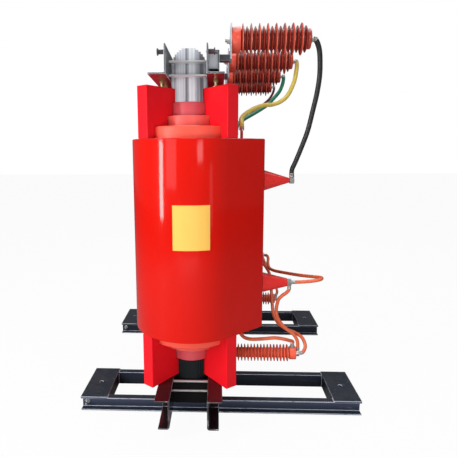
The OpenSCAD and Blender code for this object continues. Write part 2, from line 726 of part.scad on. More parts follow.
// Outline of a block from the clamp at z = 0, with one step for each ring that it carries
function block_outline(base, sign) = let (
        h_tube = winding_z - tube_half, h_barrier = winding_z - barrier_half,
        h_inner = winding_z - inner_half, h_coil = winding_z - coil_half,
        low = [
            [block_in, base], [block_reach, base], [block_reach, h_coil],
            [inner_r + 1, h_coil], [inner_r + 1, h_inner], [barrier_r + 1, h_inner],
            [barrier_r + 1, h_barrier], [tube_r + 1, h_barrier], [tube_r + 1, h_tube],
            [block_in, h_tube]
        ])
    sign > 0 ? low : [for (p = low) [p[0], p[1] == base ? base : 2 * winding_z - p[1]]];

// Four blocks round the limb at y
module four_blocks(y, base, sign) {
    a = block_angle;
    translate([0, y, 0]) for (p = [[a, -1], [180 - a, 1], [180 + a, -1], [-a, 1]])
        rotate([0, 0, p[0]]) translate([0, block_t / 2 + p[1] * block_shift, 0]) rotate([90, 0, 0])
            linear_extrude(block_t) polygon(block_outline(base, sign));
}

// Room for the limb at y and for the yoke at height z, cut out of the blocks' inner ends
module core_room(y, z) {
    translate([0, y, yoke_low_z]) linear_extrude(yoke_up_z - yoke_low_z)
        polygon([for (p = core_outline) p * (1 + core_gap / core_r)]);
    translate([0, limb_pitch, z]) rotate([90, 0, 0])
        cylinder(h = 2 * limb_pitch, r = core_r + 3 * core_gap, $fn = ring_fn);
}

// Lower blocks stand on the clamps' flanges
module lower_blocks(y) color("#d0161c") difference() {
    four_blocks(y, block_bottom_z, 1);
    core_room(y, yoke_low_z);
}
module front_lower_blocks() home() lower_blocks(FRONT);
module middle_lower_blocks() home() lower_blocks(MIDDLE);
module rear_lower_blocks() home() lower_blocks(REAR);

module upper_blocks(y) color("#e0181e") difference() {
    four_blocks(y, block_top_z, -1);
    core_room(y, yoke_up_z);
}
module front_upper_blocks() home() upper_blocks(FRONT);
module middle_upper_blocks() home() upper_blocks(MIDDLE);
module rear_upper_blocks() home() upper_blocks(REAR);

// Place of a press bolt: on the block at the side s of the core and a of the limb
function press_point(y, s, a) = [s * (press_u * cos(block_angle) + block_shift * sin(block_angle)),
    y + a * (press_u * sin(block_angle) - block_shift * cos(block_angle))];

// Press bolts between the upper blocks and the upper clamps' flanges
module press_bolts() color("#c9a640") home() for (y = limbs, s = [-1, 1], a = [-1, 1])
    let (p = press_point(y, s, a)) {
        translate([p[0], p[1], block_top_z]) cylinder(h = pad_t, d = 2.4 * press_d, $fn = 32);
        translate([p[0], p[1], block_top_z]) cylinder(h = press_gap + clamp_t + 22, d = press_d, $fn = 32);
        nut_z(p[0], p[1], up_flange_z - 12, 12, 1.5 * press_d);
        nut_z(p[0], p[1], up_flange_z + clamp_t, 12, 1.5 * press_d);
    }

// Rail on the right upper clamp, bent down at its outer edge, with gussets inside
module insulator_rail() color("#3b3e42") home() {
    half = rail_len / 2;
    block([web_out, -half, rail_top - clamp_t], [rail_out, half, rail_top]);
    block([rail_out - clamp_t, -half, rail_top - rail_h], [rail_out, half, rail_top]);
    for (k = [-2:2]) let (y = k * (half - rail_gusset_y) / 2)
        block([web_out, y - clamp_t / 2, rail_top - rail_h + 12],
            [rail_out - clamp_t + touch, y + clamp_t / 2, rail_top - clamp_t + touch]);
}

// Bracket of each upper insulator: an arm on the rail and an upright plate
module insulator_brackets() color("#8d9094") home() for (y = ins_ys) difference() {
    plate_x = ins_foot_x - plate_t;
    union() {
        block([rail_out, y - arm_w / 2, arm_z], [plate_x + touch, y + arm_w / 2, arm_z + arm_h]);
        block([plate_x, y - bracket_w / 2, arm_z],
            [ins_foot_x, y + bracket_w / 2, ins_z + ins_foot_d / 2 + 4]);
    }
    bore_x(y, ins_z, ins_stud_d + 1);
}

// Outline of a shed that leans towards the tip, from the stem to its rim and back
function shed(x, r, stem, w) = [[x - w / 2, stem], [x - 1.2, r - 1], [x + 1.2, r - 1.6], [x + w / 2, stem]];

// Upper post insulator with large and small sheds by turns, along X
module post_insulator(y) {
    stem = ins_stem_d / 2;
    cap = ins_cap_d / 2;
    sheds = [for (i = [0:ins_sheds - 1], small = [0, 1])
        each shed(ins_shed_start - ins_foot_x + (i + small / 2) * ins_shed_pitch + 6,
            small ? ins_small_d / 2 : ins_shed_d / 2, stem, ins_shed_pitch / 2 - 3)];
    outline = concat(
        [[0, 0], [0, ins_foot_d / 2 - 4], [4, ins_foot_d / 2], [ins_foot_len - 4, ins_foot_d / 2],
            [ins_foot_len - 2, stem]],
        sheds,
        [[ins_cap_x - ins_foot_x, stem], [ins_cap_x - ins_foot_x + 2, cap],
            [ins_tip_x - ins_foot_x - 4, cap], [ins_tip_x - ins_foot_x, cap - 4],
            [ins_tip_x - ins_foot_x, 0]]);
    color("#8e2a1c") translate([ins_foot_x, y, ins_z]) rotate([0, 90, 0])
        rotate_extrude($fn = 48) polygon([for (p = outline) [p[1], p[0]]]);
}
module post_front() home() post_insulator(ins_ys[0]);
module post_second() home() post_insulator(ins_ys[1]);
module post_third() home() post_insulator(ins_ys[2]);
module post_rear() home() post_insulator(ins_ys[3]);

// Studs behind the upper insulators, and the nuts at all insulators' tips, where the leads end
module insulator_nuts() color("silver") home() {
    foot = ins_foot_x - plate_t;
    for (y = ins_ys) {
        rod_x(foot - 26, ins_foot_x, y, ins_z, ins_stud_d);
        rod_x(foot - 4, foot, y, ins_z, 2.4 * ins_stud_d);
        nut_x(foot - 18, 18, y, ins_z, foot_nut_d);
        nut_x(ins_tip_x, tip_nut_h, y, ins_z, tip_nut_d);
    }
    for (y = low_ins_ys) nut_x(low_ins_tip_x, low_tip_nut_h, y, low_ins_z, tip_nut_d);
    translate([side_stud_x, FRONT, low_ins_z + side_stud_foot])
        cylinder(h = low_ins_stem_d / 2 + side_stud_h - side_stud_foot, d = side_stud_d, $fn = 48);
}

// Lower post insulator with equal sheds, along X
module low_post(y) {
    stem = low_ins_stem_d / 2;
    core = stem - 9;
    sheds = [for (i = [0:low_ins_sheds - 1])
        each shed(low_ins_start - low_foot_x + (i + 0.5) * low_ins_pitch, low_ins_shed_d / 2, core,
            low_ins_pitch - 4)];
    outline = concat(
        [[0, 0], [0, stem], [22, stem], [24, core]],
        sheds,
        [[low_ins_cap_x - low_foot_x - 2, core], [low_ins_cap_x - low_foot_x, stem],
            [low_ins_tip_x - low_foot_x - 3, stem], [low_ins_tip_x - low_foot_x, stem - 3],
            [low_ins_tip_x - low_foot_x, 0]]);
    color("#c2452a") translate([low_foot_x, y, low_ins_z]) rotate([0, 90, 0]) difference() {
        rotate_extrude($fn = 48) polygon([for (p = outline) [p[1], p[0]]]);
        // Seat of the stud on top of the front insulator's cap
        if (y == FRONT) translate([-low_ins_stem_d, 0, side_stud_x - low_foot_x]) rotate([0, 90, 0])
            cylinder(h = low_ins_stem_d - side_stud_foot, d = side_stud_d + 0.6, $fn = 48);
    }
}
module low_post_front() home() low_post(low_ins_ys[0]);
module low_post_rear() home() low_post(low_ins_ys[1]);

// Place where a bracket's foot clears the support blocks beside it
block_side = block_shift + block_t / 2;
foot_u = (low_plate_w / 2 + 1 + block_side * cos(block_angle)) / sin(block_angle);
foot_x0 = max(web_x, foot_u * cos(block_angle) + block_side * sin(block_angle));

// Angle brackets that carry the lower insulators on the right clamp's flange
module low_post_brackets() color("#26282b") home() for (y = low_ins_ys) {
    half = low_plate_w / 2;
    plate_x = low_foot_x - plate_t;
    foot_top = low_flange_z + clamp_t;
    block([foot_x0, y - half, low_flange_z], [low_foot_x, y + half, foot_top]);
    block([plate_x, y - half, low_flange_z], [low_foot_x, y + half, low_ins_z + low_ins_stem_d / 2 + 6]);
    translate([0, y + plate_t / 2, 0]) rotate([90, 0, 0]) linear_extrude(plate_t) polygon([
        [foot_x0 + 20, foot_top - touch], [plate_x + touch, foot_top - touch], [plate_x + touch, low_ins_z]
    ]);
}

RIGHT = [1, 0, 0];
LEFT = [-1, 0, 0];
DOWN = [0, 0, -1];

module black_lead() color("#1f2022") home() lead(black_route, lead_d, RIGHT, DOWN);
module yellow_lead() color("#d8bd4a") home() lead(yellow_route, lead_d, RIGHT, DOWN);
module green_lead() color("#2f7d63") home() lead(green_route, lead_d, RIGHT, DOWN);
module red_lead() color("#6d1a22") home() lead(red_route, thin_lead_d, RIGHT, DOWN);
module return_lead() color("#d8603c") home() lead(return_route, thin_lead_d, RIGHT, LEFT);
module front_drop_lead() color("#d8603c") home() lead(front_drop_route, thin_lead_d, DOWN, DOWN);
module middle_drop_lead() color("#d8603c") home() lead(middle_drop_route, thin_lead_d, DOWN, LEFT);
module bottom_lead() color("#d8603c") home() lead(bottom_route, thin_lead_d, DOWN, DOWN);
module rear_drop_lead() color("#d8603c") home() lead(rear_drop_route, thin_lead_d, DOWN, DOWN);

front_base_frame();
rear_base_frame();
earth_studs();
frame_bolts();
lower_clamp_left();
lower_clamp_right();
upper_clamp_left();
upper_clamp_right();
lower_pressboard();
upper_pressboard();
lower_yoke();
upper_yoke();
front_limb();
middle_limb();
rear_limb();
core_bolts();
lower_tie_rods();
upper_tie_bars();
tie_bar_bolts();
lifting_pins();
front_lower_blocks();
middle_lower_blocks();
rear_lower_blocks();
front_upper_blocks();
middle_upper_blocks();
rear_upper_blocks();
press_bolts();
front_limb_tube();
middle_limb_tube();
rear_limb_tube();
front_barrier();
middle_barrier();
rear_barrier();
front_inner_winding();
middle_inner_winding();
rear_inner_winding();
front_coil();
middle_coil();
rear_coil();
cone_nuts();
winding_stubs();
insulator_rail();
insulator_brackets();
insulator_nuts();
post_front();
post_second();
post_third();
post_rear();
low_post_front();
low_post_rear();
low_post_brackets();
black_lead();
yellow_lead();
green_lead();
red_lead();
return_lead();
front_drop_lead();
middle_drop_lead();
rear_drop_lead();
bottom_lead();
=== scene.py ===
# %% [markdown]
# # A zigzag grounding transformer
# Three red coils stand in a row on a stepped steel core. Black clamps hold the core on two
# base frames, and ribbed insulators carry the coloured leads on the right side. This lesson
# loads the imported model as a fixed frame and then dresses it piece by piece. The pieces are
# made with the tools of the Edit Mode menus, called from code, so each step can be repeated
# by hand.

# %% Load the frame
import math

import bmesh
import bpy
from mathutils import Matrix, Vector


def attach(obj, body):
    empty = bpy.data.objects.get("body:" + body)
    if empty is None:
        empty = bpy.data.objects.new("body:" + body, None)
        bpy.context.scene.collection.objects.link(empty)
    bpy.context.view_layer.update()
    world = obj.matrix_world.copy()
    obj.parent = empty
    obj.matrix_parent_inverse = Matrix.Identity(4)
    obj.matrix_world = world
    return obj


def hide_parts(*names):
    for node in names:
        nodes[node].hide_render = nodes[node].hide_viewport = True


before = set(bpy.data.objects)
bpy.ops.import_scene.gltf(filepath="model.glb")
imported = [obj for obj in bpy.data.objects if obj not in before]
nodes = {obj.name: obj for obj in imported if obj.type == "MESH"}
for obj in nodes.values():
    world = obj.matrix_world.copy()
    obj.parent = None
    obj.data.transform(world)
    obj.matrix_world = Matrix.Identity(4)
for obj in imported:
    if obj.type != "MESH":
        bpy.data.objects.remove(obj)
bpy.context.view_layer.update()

# %% [markdown]
# ## Drawing coordinates
# The maker's drawing measures from the middle limb, on top of the base frames, in
# millimetres. One could convert every number by hand, but one small function turns such a
# point into Blender's metres, so every number below can be read off the drawing.

# %% Drawing coordinates
HOME_X, BASE_H = -165.0, 80.0

def mm(value):
    return value / 1000

def at(x, y, z):
    return Vector((mm(x + HOME_X), mm(y), mm(z + BASE_H)))

LIMBS = {"front": -690.0, "middle": 0.0, "rear": 690.0}
WINDING_Z = 982.0
print("middle of the front coil:", tuple(round(value, 3) for value in at(0, LIMBS["front"], WINDING_Z)))

# %% [markdown]
# ## The camera
# The photograph was taken from the front end of the row, a little above half height, with
# the lens's axis left of the picture's middle. Matching the picture means matching four
# things: where the camera stands, where it looks, how wide the lens is and how far the
# picture is shifted. A shift keeps upright edges upright, so it is better than a turn.

# %% Camera
PICTURE, SENSOR = 457, 36
FOCAL_PIXELS, AXIS_X, AXIS_Y = 448.38, 198.83, 219.34
CAMERA_PLACE = at(152.4, -3199.5, 1440.15)
YAW, PITCH, ROLL = -0.0425, 0.1494, -0.005

def look_rotation(yaw, pitch, roll):
    ahead = Vector((math.sin(yaw), math.cos(yaw), 0))
    right = Vector((math.cos(yaw), -math.sin(yaw), 0))
    forward = ahead * math.cos(pitch) - Vector((0, 0, 1)) * math.sin(pitch)
    up = Vector((0, 0, 1)) * math.cos(pitch) + ahead * math.sin(pitch)
    side = right * math.cos(roll) + up * math.sin(roll)
    top = up * math.cos(roll) - right * math.sin(roll)
    return Matrix((side, top, -forward)).transposed()

def in_scene(thing):
    bpy.context.scene.collection.objects.link(thing)
    return thing

lens = bpy.data.cameras.new("photo_camera")
camera = in_scene(bpy.data.objects.new("photo_camera", lens))
camera.matrix_world = Matrix.Translation(CAMERA_PLACE) @ look_rotation(YAW, PITCH, ROLL).to_4x4()
lens.sensor_width = SENSOR
lens.lens = FOCAL_PIXELS * SENSOR / PICTURE
lens.shift_x = (PICTURE / 2 - AXIS_X) / PICTURE
lens.shift_y = (AXIS_Y - PICTURE / 2) / PICTURE
lens.clip_end = 60
bpy.context.scene.camera = camera
print("lens", round(lens.lens, 2), "mm")

# %% [markdown]
# ## The floor
# The floor of a product picture is one white sweep that runs on past the horizon. A single
# large plane does that. Operators act on all that is selected, so the two helpers here
# come before nearly every operator.

# %% Floor
def clear():
    if bpy.context.object and bpy.context.object.mode != "OBJECT":
        bpy.ops.object.mode_set(mode="OBJECT")
    bpy.ops.object.select_all(action="DESELECT")

def pick(piece):
    clear()
    piece.select_set(True)
    bpy.context.view_layer.objects.active = piece

clear()
bpy.ops.mesh.primitive_plane_add(size=40, location=(0, 8, 0))
floor = bpy.context.object
floor.name = "floor"
print("floor", tuple(floor.dimensions))

# %% [markdown]
# ## The lights
# Two kinds of area light do two jobs. The broad ones only brighten: the key light at the
# left front makes the left of each coil brighter than the right, the front light reaches
# the frames, and the fill and back lights soften the shadows. They are hidden from
# reflections. The others are seen in the varnish. A round coil mirrors a tall narrow light
# as an upright line, so the streak light draws the bright streak, the window and lamp
# lights the two paler ones beside it, and the side light the faint one at the right. Two
# flat strips do the same for the insulators' rims, and the top light whitens the flanges.

# %% Lights
def soft_light(name, place, target, width, height, power, mirrored=True):
    light = bpy.data.lights.new(name, "AREA")
    light.shape = "RECTANGLE"
    light.size, light.size_y = width, height
    light.energy = power
    lamp = bpy.data.objects.new(name, light)
    lamp.visible_glossy = mirrored
    in_scene(lamp)
    turn = (Vector(target) - Vector(place)).to_track_quat("-Z", "Y").to_matrix().to_4x4()
    lamp.matrix_world = Matrix.Translation(place) @ turn

# Name, place, target, width and height in metres, power in watts
soft_light("key_light", (-3.0, -3.2, 3.9), (0, -0.5, 1.0), 1.8, 1.8, 128, mirrored=False)
soft_light("front_light", (-0.4, -4.6, 0.6), (0, -0.7, 0.6), 2.6, 1.0, 86, mirrored=False)
soft_light("fill_light", (3.6, -2.4, 2.0), (0, -0.2, 1.0), 2.4, 2.4, 17, mirrored=False)
soft_light("streak_light", (-2.915, -2.815, 1.62), (-0.3, -0.95, 1.2), 0.45, 1.5, 52)
soft_light("window_light", (-2.1, -3.73, 2.1), (-0.2, -1.0, 1.2), 1.25, 1.2, 10)
soft_light("lamp_light", (1.31, -4.39, 2.38), (-0.1, -1.0, 1.5), 0.7, 0.46, 6)
soft_light("side_light", (3.08, -4.24, 1.35), (0.3, -0.7, 1.1), 0.45, 1.7, 2.5)
soft_light("post_light", (0.65, -4.4, 2.95), (0.3, -0.8, 2.07), 1.4, 0.14, 5)
soft_light("low_post_light", (0.65, -4.5, 0.72), (0.3, -0.7, 0.35), 1.3, 0.09, 2.5)
soft_light("top_light", (0.2, 0.2, 4.6), (0, 0, 0.8), 4.0, 4.0, 110)
soft_light("back_light", (1.5, 4.0, 3.2), (0, 0, 1.0), 3.0, 2.0, 50, mirrored=False)
print(len(bpy.data.lights), "lights")

# %% [markdown]
# ## The backdrop
# The picture's background is pure white, but a white world that also lit the coils would
# wash them out. A Light Path node parts the two: the camera sees white, and the light that
# the pieces get from the world stays weak. The floor gets the same treatment further down.

# %% Backdrop
SKY_COLOUR, SKY_STRENGTH = (0.93, 0.96, 1, 1), 0.20

def seen_as(tree, target, real, shown, share):
    """The camera sees a share of the shown shader, the light only meets the real one."""
    rays = tree.nodes.new("ShaderNodeLightPath")
    part = tree.nodes.new("ShaderNodeMath")
    part.operation, part.inputs[1].default_value = "MULTIPLY", share
    either = tree.nodes.new("ShaderNodeMixShader")
    tree.links.new(rays.outputs["Is Camera Ray"], part.inputs[0])
    tree.links.new(part.outputs[0], either.inputs[0])
    tree.links.new(real.outputs[0], either.inputs[1])
    tree.links.new(shown.outputs[0], either.inputs[2])
    tree.links.new(either.outputs[0], target)

world = bpy.data.worlds.new("studio")
world.use_nodes = True
bpy.context.scene.world = world
sky = world.node_tree.nodes["Background"]
sky.inputs["Color"].default_value = SKY_COLOUR
sky.inputs["Strength"].default_value = SKY_STRENGTH
backdrop = world.node_tree.nodes.new("ShaderNodeBackground")
backdrop.inputs["Color"].default_value = (1, 1, 1, 1)
backdrop.inputs["Strength"].default_value = 1.0
seen_as(world.node_tree, world.node_tree.nodes["World Output"].inputs["Surface"], sky, backdrop, 1.0)
bpy.context.scene.view_settings.view_transform = "Standard"
print("world strength", SKY_STRENGTH)

# %% [markdown]
# ## A small language for materials
# Shader nodes are sums and products, so they read best as sums and products. `Wire` wraps
# the output of a node and overloads the operators: `1 - mask * 0.3` then adds the Math
# nodes by itself, where linking them one by one would take a dozen lines.

# %% Wire
class Wire:
    def __init__(self, finish, socket):
        self.finish, self.socket = finish, socket

    def maths(self, operation, *values):
        return self.finish.node("ShaderNodeMath", {"operation": operation}, dict(enumerate(values)))

    def __add__(self, other):
        return self.maths("ADD", self, other)

    def __radd__(self, other):
        return self.maths("ADD", other, self)

    def __sub__(self, other):
        return self.maths("SUBTRACT", self, other)

    def __rsub__(self, other):
        return self.maths("SUBTRACT", other, self)

    def __mul__(self, other):
        return self.maths("MULTIPLY", self, other)

    def __rmul__(self, other):
        return self.maths("MULTIPLY", other, self)

    def __pow__(self, other):
        return self.maths("POWER", self, other)

    def wave(self):
        return self.maths("SINE", self)

    def magnitude(self):
        return self.maths("ABSOLUTE", self)

    def below(self, other):
        return self.maths("LESS_THAN", self, other)

    def above(self, other):
        return self.maths("GREATER_THAN", self, other)

    def between(self, low, high):
        """0 up to low, 1 from high on, and a soft step from one to the other."""
        return self.finish.node("ShaderNodeMapRange", {"clamp": True, "interpolation_type": "SMOOTHSTEP"},
                                {"Value": self, "From Min": low, "From Max": high})

print("operators ready")

# %% [markdown]
# `Finish` makes a material and its nodes. Its methods are the few patterns that every
# finish here is built from: a cloud of noise, a place along an axis, how much a surface
# faces up, a tint through a mask, and a bump. The patterns read Object coordinates, so they
# sit still on the metal when the camera moves.

# %% Finish
COAT_ROUGHNESS = 0.09
MIX_FACTOR, MIX_FIRST, MIX_SECOND, MIX_RESULT = 0, 6, 7, 2

class Finish:
    def __init__(self, name, colour, roughness, metallic=0.0, coat=0.0, specular=0.5):
        self.material = bpy.data.materials.new(name)
        self.material.use_nodes = True
        self.tree = self.material.node_tree
        self.shader = self.tree.nodes["Principled BSDF"]
        self.set("Base Color", self.full(colour))
        self.set("Roughness", roughness)
        self.set("Metallic", metallic)
        self.set("Coat Weight", coat)
        self.set("Coat Roughness", COAT_ROUGHNESS)
        self.set("Specular IOR Level", specular)
        self.material.diffuse_color = self.full(colour)

    def full(self, colour):
        return colour if isinstance(colour, Wire) else tuple(colour) + (1.0,)

    def set(self, name, value):
        self.put(self.shader.inputs[name], value)

    def put(self, socket, value):
        if isinstance(value, Wire):
            self.tree.links.new(value.socket, socket)
        else:
            socket.default_value = value

    def node(self, kind, settings=None, inputs=None, output=0):
        made = self.tree.nodes.new(kind)
        for name, value in (settings or {}).items():
            setattr(made, name, value)
        for name, value in (inputs or {}).items():
            self.put(made.inputs[name], value)
        return Wire(self, made.outputs[output])

    def place(self):
        return self.node("ShaderNodeTexCoord", output="Object")

    def axis(self, letter):
        return self.node("ShaderNodeSeparateXYZ", inputs={0: self.place()}, output=letter)

    def facing_up(self):
        normal = self.node("ShaderNodeNewGeometry", output="Normal")
        return self.node("ShaderNodeSeparateXYZ", inputs={0: normal}, output="Z")

    def cloud(self, scale, detail=3.0, rough=0.55, stretch=(1, 1, 1)):
        spot = self.node("ShaderNodeMapping", inputs={"Vector": self.place(), "Scale": stretch})
        return self.node("ShaderNodeTexNoise", inputs={
            "Vector": spot, "Scale": scale, "Detail": detail, "Roughness": rough})

    def tint(self, mask, first, second):
        """The first colour where the mask is 0, the second where it is 1."""
        return self.node("ShaderNodeMix", {"data_type": "RGBA"}, {
            MIX_FACTOR: mask, MIX_FIRST: self.full(first), MIX_SECOND: self.full(second)}, MIX_RESULT)

    def bump(self, height, depth, strength=1.0):
        return self.node("ShaderNodeBump", inputs={"Height": height, "Distance": depth, "Strength": strength})

def shade_of(colour, factor):
    return tuple(min(1.0, c * factor) for c in colour)

print("finish ready")

# %% [markdown]
# ### Resin and varnish
# The coils, blocks and rings are epoxy resin. Real resin is never one flat red: it has
# slow clouds where the pigment is thicker, a few darker specks, a skin with a faint
# orange-peel wave that breaks up reflections, and a little dust on whatever faces up. Each
# of these is a mask on colour, roughness or bump. Where one casting changes colour, a layer
# says where and to what: the cones are painted a paler red than the coil that they are
# cast onto, a painted highlight for the light that falls on them.

# %% Resin
BOSS_REACH, SEAM = 405.0, mm(3)

def resin(name, colour, roughness, peel=0.0004, dust=0.3, coat=0.0, specular=0.4, layers=()):
    f = Finish(name, colour, roughness, coat=coat, specular=specular)
    base = f.tint(f.cloud(2.6, 2.0), shade_of(colour, 0.92), shade_of(colour, 1.08))
    base = f.tint(f.cloud(60.0, 4.0).between(0.60, 0.78) * 0.22, base, shade_of(colour, 0.72))
    for where, tone in layers:
        base = f.tint(where(f), base, tone)
    lies = f.facing_up().between(0.5, 0.95) * f.cloud(9.0, 4.0).between(0.25, 0.8) * dust
    f.set("Base Color", f.tint(lies, base, (0.62, 0.42, 0.38)))
    f.set("Roughness", roughness + (f.cloud(5.0, 3.0) - 0.5) * 0.10)
    f.set("Normal", f.bump(f.cloud(140.0, 2.0), peel, 0.6))
    return f.material

def right_of(x):
    """The side of a piece that lies right of a place on the drawing's X axis."""
    return lambda f: f.axis("X").between(at(x, 0, 0).x, at(x, 0, 0).x + SEAM)

# The layer right of the boss paints the cones a paler red: a painted highlight.
coil_red = resin("cast_resin_red", (0.54, 0.0055, 0.0018), 0.34, peel=0.0002, dust=0.12, coat=0.5,
                 specular=0.03, layers=[(right_of(BOSS_REACH + 0.5), (0.66, 0.030, 0.026))])
block_red = resin("moulded_block_red", (0.72, 0.007, 0.014), 0.42, peel=0.0007, dust=0.12, specular=0.2)
winding_red = resin("banded_winding_red", (0.78, 0.082, 0.050), 0.38, peel=0.0006)
barrier_red = resin("barrier_red", (0.70, 0.095, 0.080), 0.36)
print("resin finishes for coils, blocks, windings and barriers")

# %% [markdown]
# ### Insulators
# ### Insulators
# An insulator gets painted shade in the hollows between its sheds and a painted highlight
# along their rims. Both depend on one thing, the distance from its axis, so the mask is
# worked out from that distance. All insulators of a row share one material: a Math node set
# to Wrap folds the row onto its first insulator. The cap at the lead's end gets no painted
# shade, and the foot cap of the upper ones is a brighter red.

# %% Insulator resin
INS_PITCH, INS_Z, INS_FOOT = 553.0, 1995.0, 221.0
LOW_PITCH, LOW_INS_Z = 990.0, 270.0
# Colour of the painted highlight on the insulators' rims
PAINTED_RIM_HIGHLIGHT = (0.80, 0.24, 0.16)

def shed_layers(first_y, pitch, axis_z, stem, flank, rim_edge, cap_x, gap_shade):
    """Painted shade between the sheds and painted highlights on the rims. All places are in the drawing's
    millimetres.
    """
    def away(f):
        offset = {0: f.axis("Y") - mm(first_y), 1: mm(pitch) / 2, 2: -mm(pitch) / 2}
        across = f.node("ShaderNodeMath", {"operation": "WRAP"}, offset)
        up = f.axis("Z") - at(0, 0, axis_z).z
        return (across * across + up * up) ** 0.5

    # Painted shade in the hollows between the sheds
    def painted_gap_shade(f):
        inside = 1 - away(f).between(mm(stem), mm(flank))
        return inside * f.axis("X").below(at(cap_x, 0, 0).x) * 0.85

    # A painted highlight along each rim
    def lightened(f):
        return away(f).between(mm(rim_edge) - SEAM, mm(rim_edge)) * 0.5

    return [(painted_gap_shade, gap_shade), (lightened, PAINTED_RIM_HIGHLIGHT)]

BROWN, ORANGE, FOOT_CAP = (0.42, 0.046, 0.028), (0.80, 0.105, 0.048), (0.66, 0.080, 0.046)
upper_sheds = shed_layers(-1.5 * INS_PITCH, INS_PITCH, INS_Z, stem=49.0, flank=69.0, rim_edge=77.5,
                          cap_x=INS_FOOT + 376.5, gap_shade=shade_of(BROWN, 0.36))
lower_sheds = shed_layers(LIMBS["front"], LOW_PITCH, LOW_INS_Z, stem=29.0, flank=43.0, rim_edge=49.0,
                          cap_x=INS_FOOT + 348.5, gap_shade=shade_of(ORANGE, 0.68))
foot_cap = (lambda f: 1 - right_of(INS_FOOT + 45)(f), FOOT_CAP)
post_brown = resin("brown_red_epoxy", BROWN, 0.22, peel=0.0001, dust=0.15, coat=0.5,
                   layers=upper_sheds + [foot_cap])
post_orange = resin("orange_red_epoxy", ORANGE, 0.24, peel=0.0001, dust=0.15, coat=0.4, layers=lower_sheds)
print("insulator finishes")

# %% [markdown]
# ### The wound tube
# The tube round each limb is wound from resin-soaked tape. Its turns lie about 7 mm apart
# and show as fine level ripples. A sine wave along Z makes them, and a little noise in its
# argument keeps them from looking machined.

# %% Wound tube
RADIANS_PER_METRE = 900

def wound_tube(name, colour):
    f = Finish(name, colour, 0.33)
    ripple = (f.axis("Z") * RADIANS_PER_METRE + f.cloud(5.0, 2.0) * 3).wave()
    base = f.tint(f.cloud(4.0, 3.0), shade_of(colour, 0.82), shade_of(colour, 1.18))
    f.set("Base Color", f.tint(ripple.between(0.2, 1.0) * 0.25, base, shade_of(colour, 0.7)))
    f.set("Normal", f.bump(ripple * 0.5 + f.cloud(90.0, 2.0), 0.0004, 0.7))
    return f.material

tube_red = wound_tube("wound_tube_red", (0.55, 0.070, 0.085))
print("tube finish, a turn every", round(2 * math.pi / RADIANS_PER_METRE * 1000, 1), "mm")

# %% [markdown]
# ### Core steel
# The core is hundreds of thin sheets on edge. From the front each packet shows as fine
# upright lines of slightly different brightness; on the flat side of a sheet there are no
# lines. Noise that is stretched along Y and Z depends almost on X alone and does both at
# once. The lower part of the core is coloured near black, and a painted glint lies on one
# packet at the left.

# %% Core sheets
DARK_TOP_Z, DARK_FADE = 0.60, 0.01
GLINT_FROM_X, GLINT_TO_X, GLINT_FADE = -0.163, -0.131, 0.004

def sheet_stack(name, light, dark, roughness, metallic, dark_lower_part=False):
    f = Finish(name, light, roughness, metallic=metallic, specular=0.2)
    sheets = f.cloud(1.0, 3.0, 0.7, stretch=(190, 0.6, 0.9))
    packs = f.cloud(1.0, 1.0, 0.5, stretch=(46, 0.3, 0.3))
    base = f.tint((sheets * 0.7 + packs * 0.6).between(0.44, 0.80), dark, light)
    base = f.tint(f.cloud(7.0, 5.0).between(0.62, 0.8) * 0.35, base, shade_of(dark, 0.7))
    if dark_lower_part:
        # A painted glint: one packet at the left is tinted almost white, as if it caught the light.
        x = f.axis("X")
        glint = x.between(GLINT_FROM_X, GLINT_FROM_X + GLINT_FADE) * (
            1 - x.between(GLINT_TO_X - GLINT_FADE, GLINT_TO_X))
        base = f.tint(glint * (0.55 + sheets * 0.35), base, (0.93, 0.96, 1.0))
        # Below this height the core is coloured near black.
        above_dark_part = f.axis("Z").between(DARK_TOP_Z - DARK_FADE, DARK_TOP_Z + DARK_FADE)
        base = f.tint(above_dark_part, (0.008, 0.010, 0.011), base)
        f.set("Metallic", above_dark_part * metallic)
    f.set("Base Color", base)
    f.set("Roughness", roughness + (packs - 0.5) * 0.3)
    f.set("Normal", f.bump(sheets, 0.0012, 0.8))
    return f.material

core_steel = sheet_stack("core_sheets", (0.80, 0.82, 0.88), (0.10, 0.105, 0.13), 0.40, 0.55,
                         dark_lower_part=True)
# The lower yoke is coloured near black as well.
core_black = sheet_stack("core_sheets_near_black", (0.012, 0.015, 0.016), (0.005, 0.006, 0.007), 0.34, 0.0)
print("core finishes")

# %% [markdown]
# ### Paint
# The clamps and frames are painted black or dark grey. Paint on steel is mottled, has
# faint scratches along the channel, and grey dust on top. What is special to one piece
# comes as layers, as with the resin, but in two lists, because some lie under the dust and
# some over it.

# %% Paint
def paint(name, colour, roughness, dust=0.3, dust_colour=(0.3, 0.3, 0.3), coat=0.0, specular=0.5,
          under=(), over=()):
    f = Finish(name, colour, roughness, coat=coat, specular=specular)
    base = f.tint(f.cloud(7.0, 4.0), shade_of(colour, 0.75), shade_of(colour, 1.5))
    for where, tone in under:
        base = f.tint(where(f), base, tone)
    lies = f.facing_up().between(0.4, 0.95) * f.cloud(11.0, 6.0, 0.65).between(0.38, 0.78) * dust
    base = f.tint(lies, base, dust_colour)
    for where, tone in over:
        base = f.tint(where(f), base, tone)
    scuff = f.cloud(1.0, 4.0, 0.6, stretch=(14, 90, 60)).between(0.66, 0.74) * 0.25
    f.set("Base Color", f.tint(scuff, base, (0.16, 0.16, 0.17)))
    f.set("Roughness", roughness + lies * 0.35 + (f.cloud(18.0, 3.0) - 0.5) * 0.14)
    f.set("Normal", f.bump(f.cloud(230.0, 2.0), 0.0005, 0.5))
    return f.material

print("paint ready")

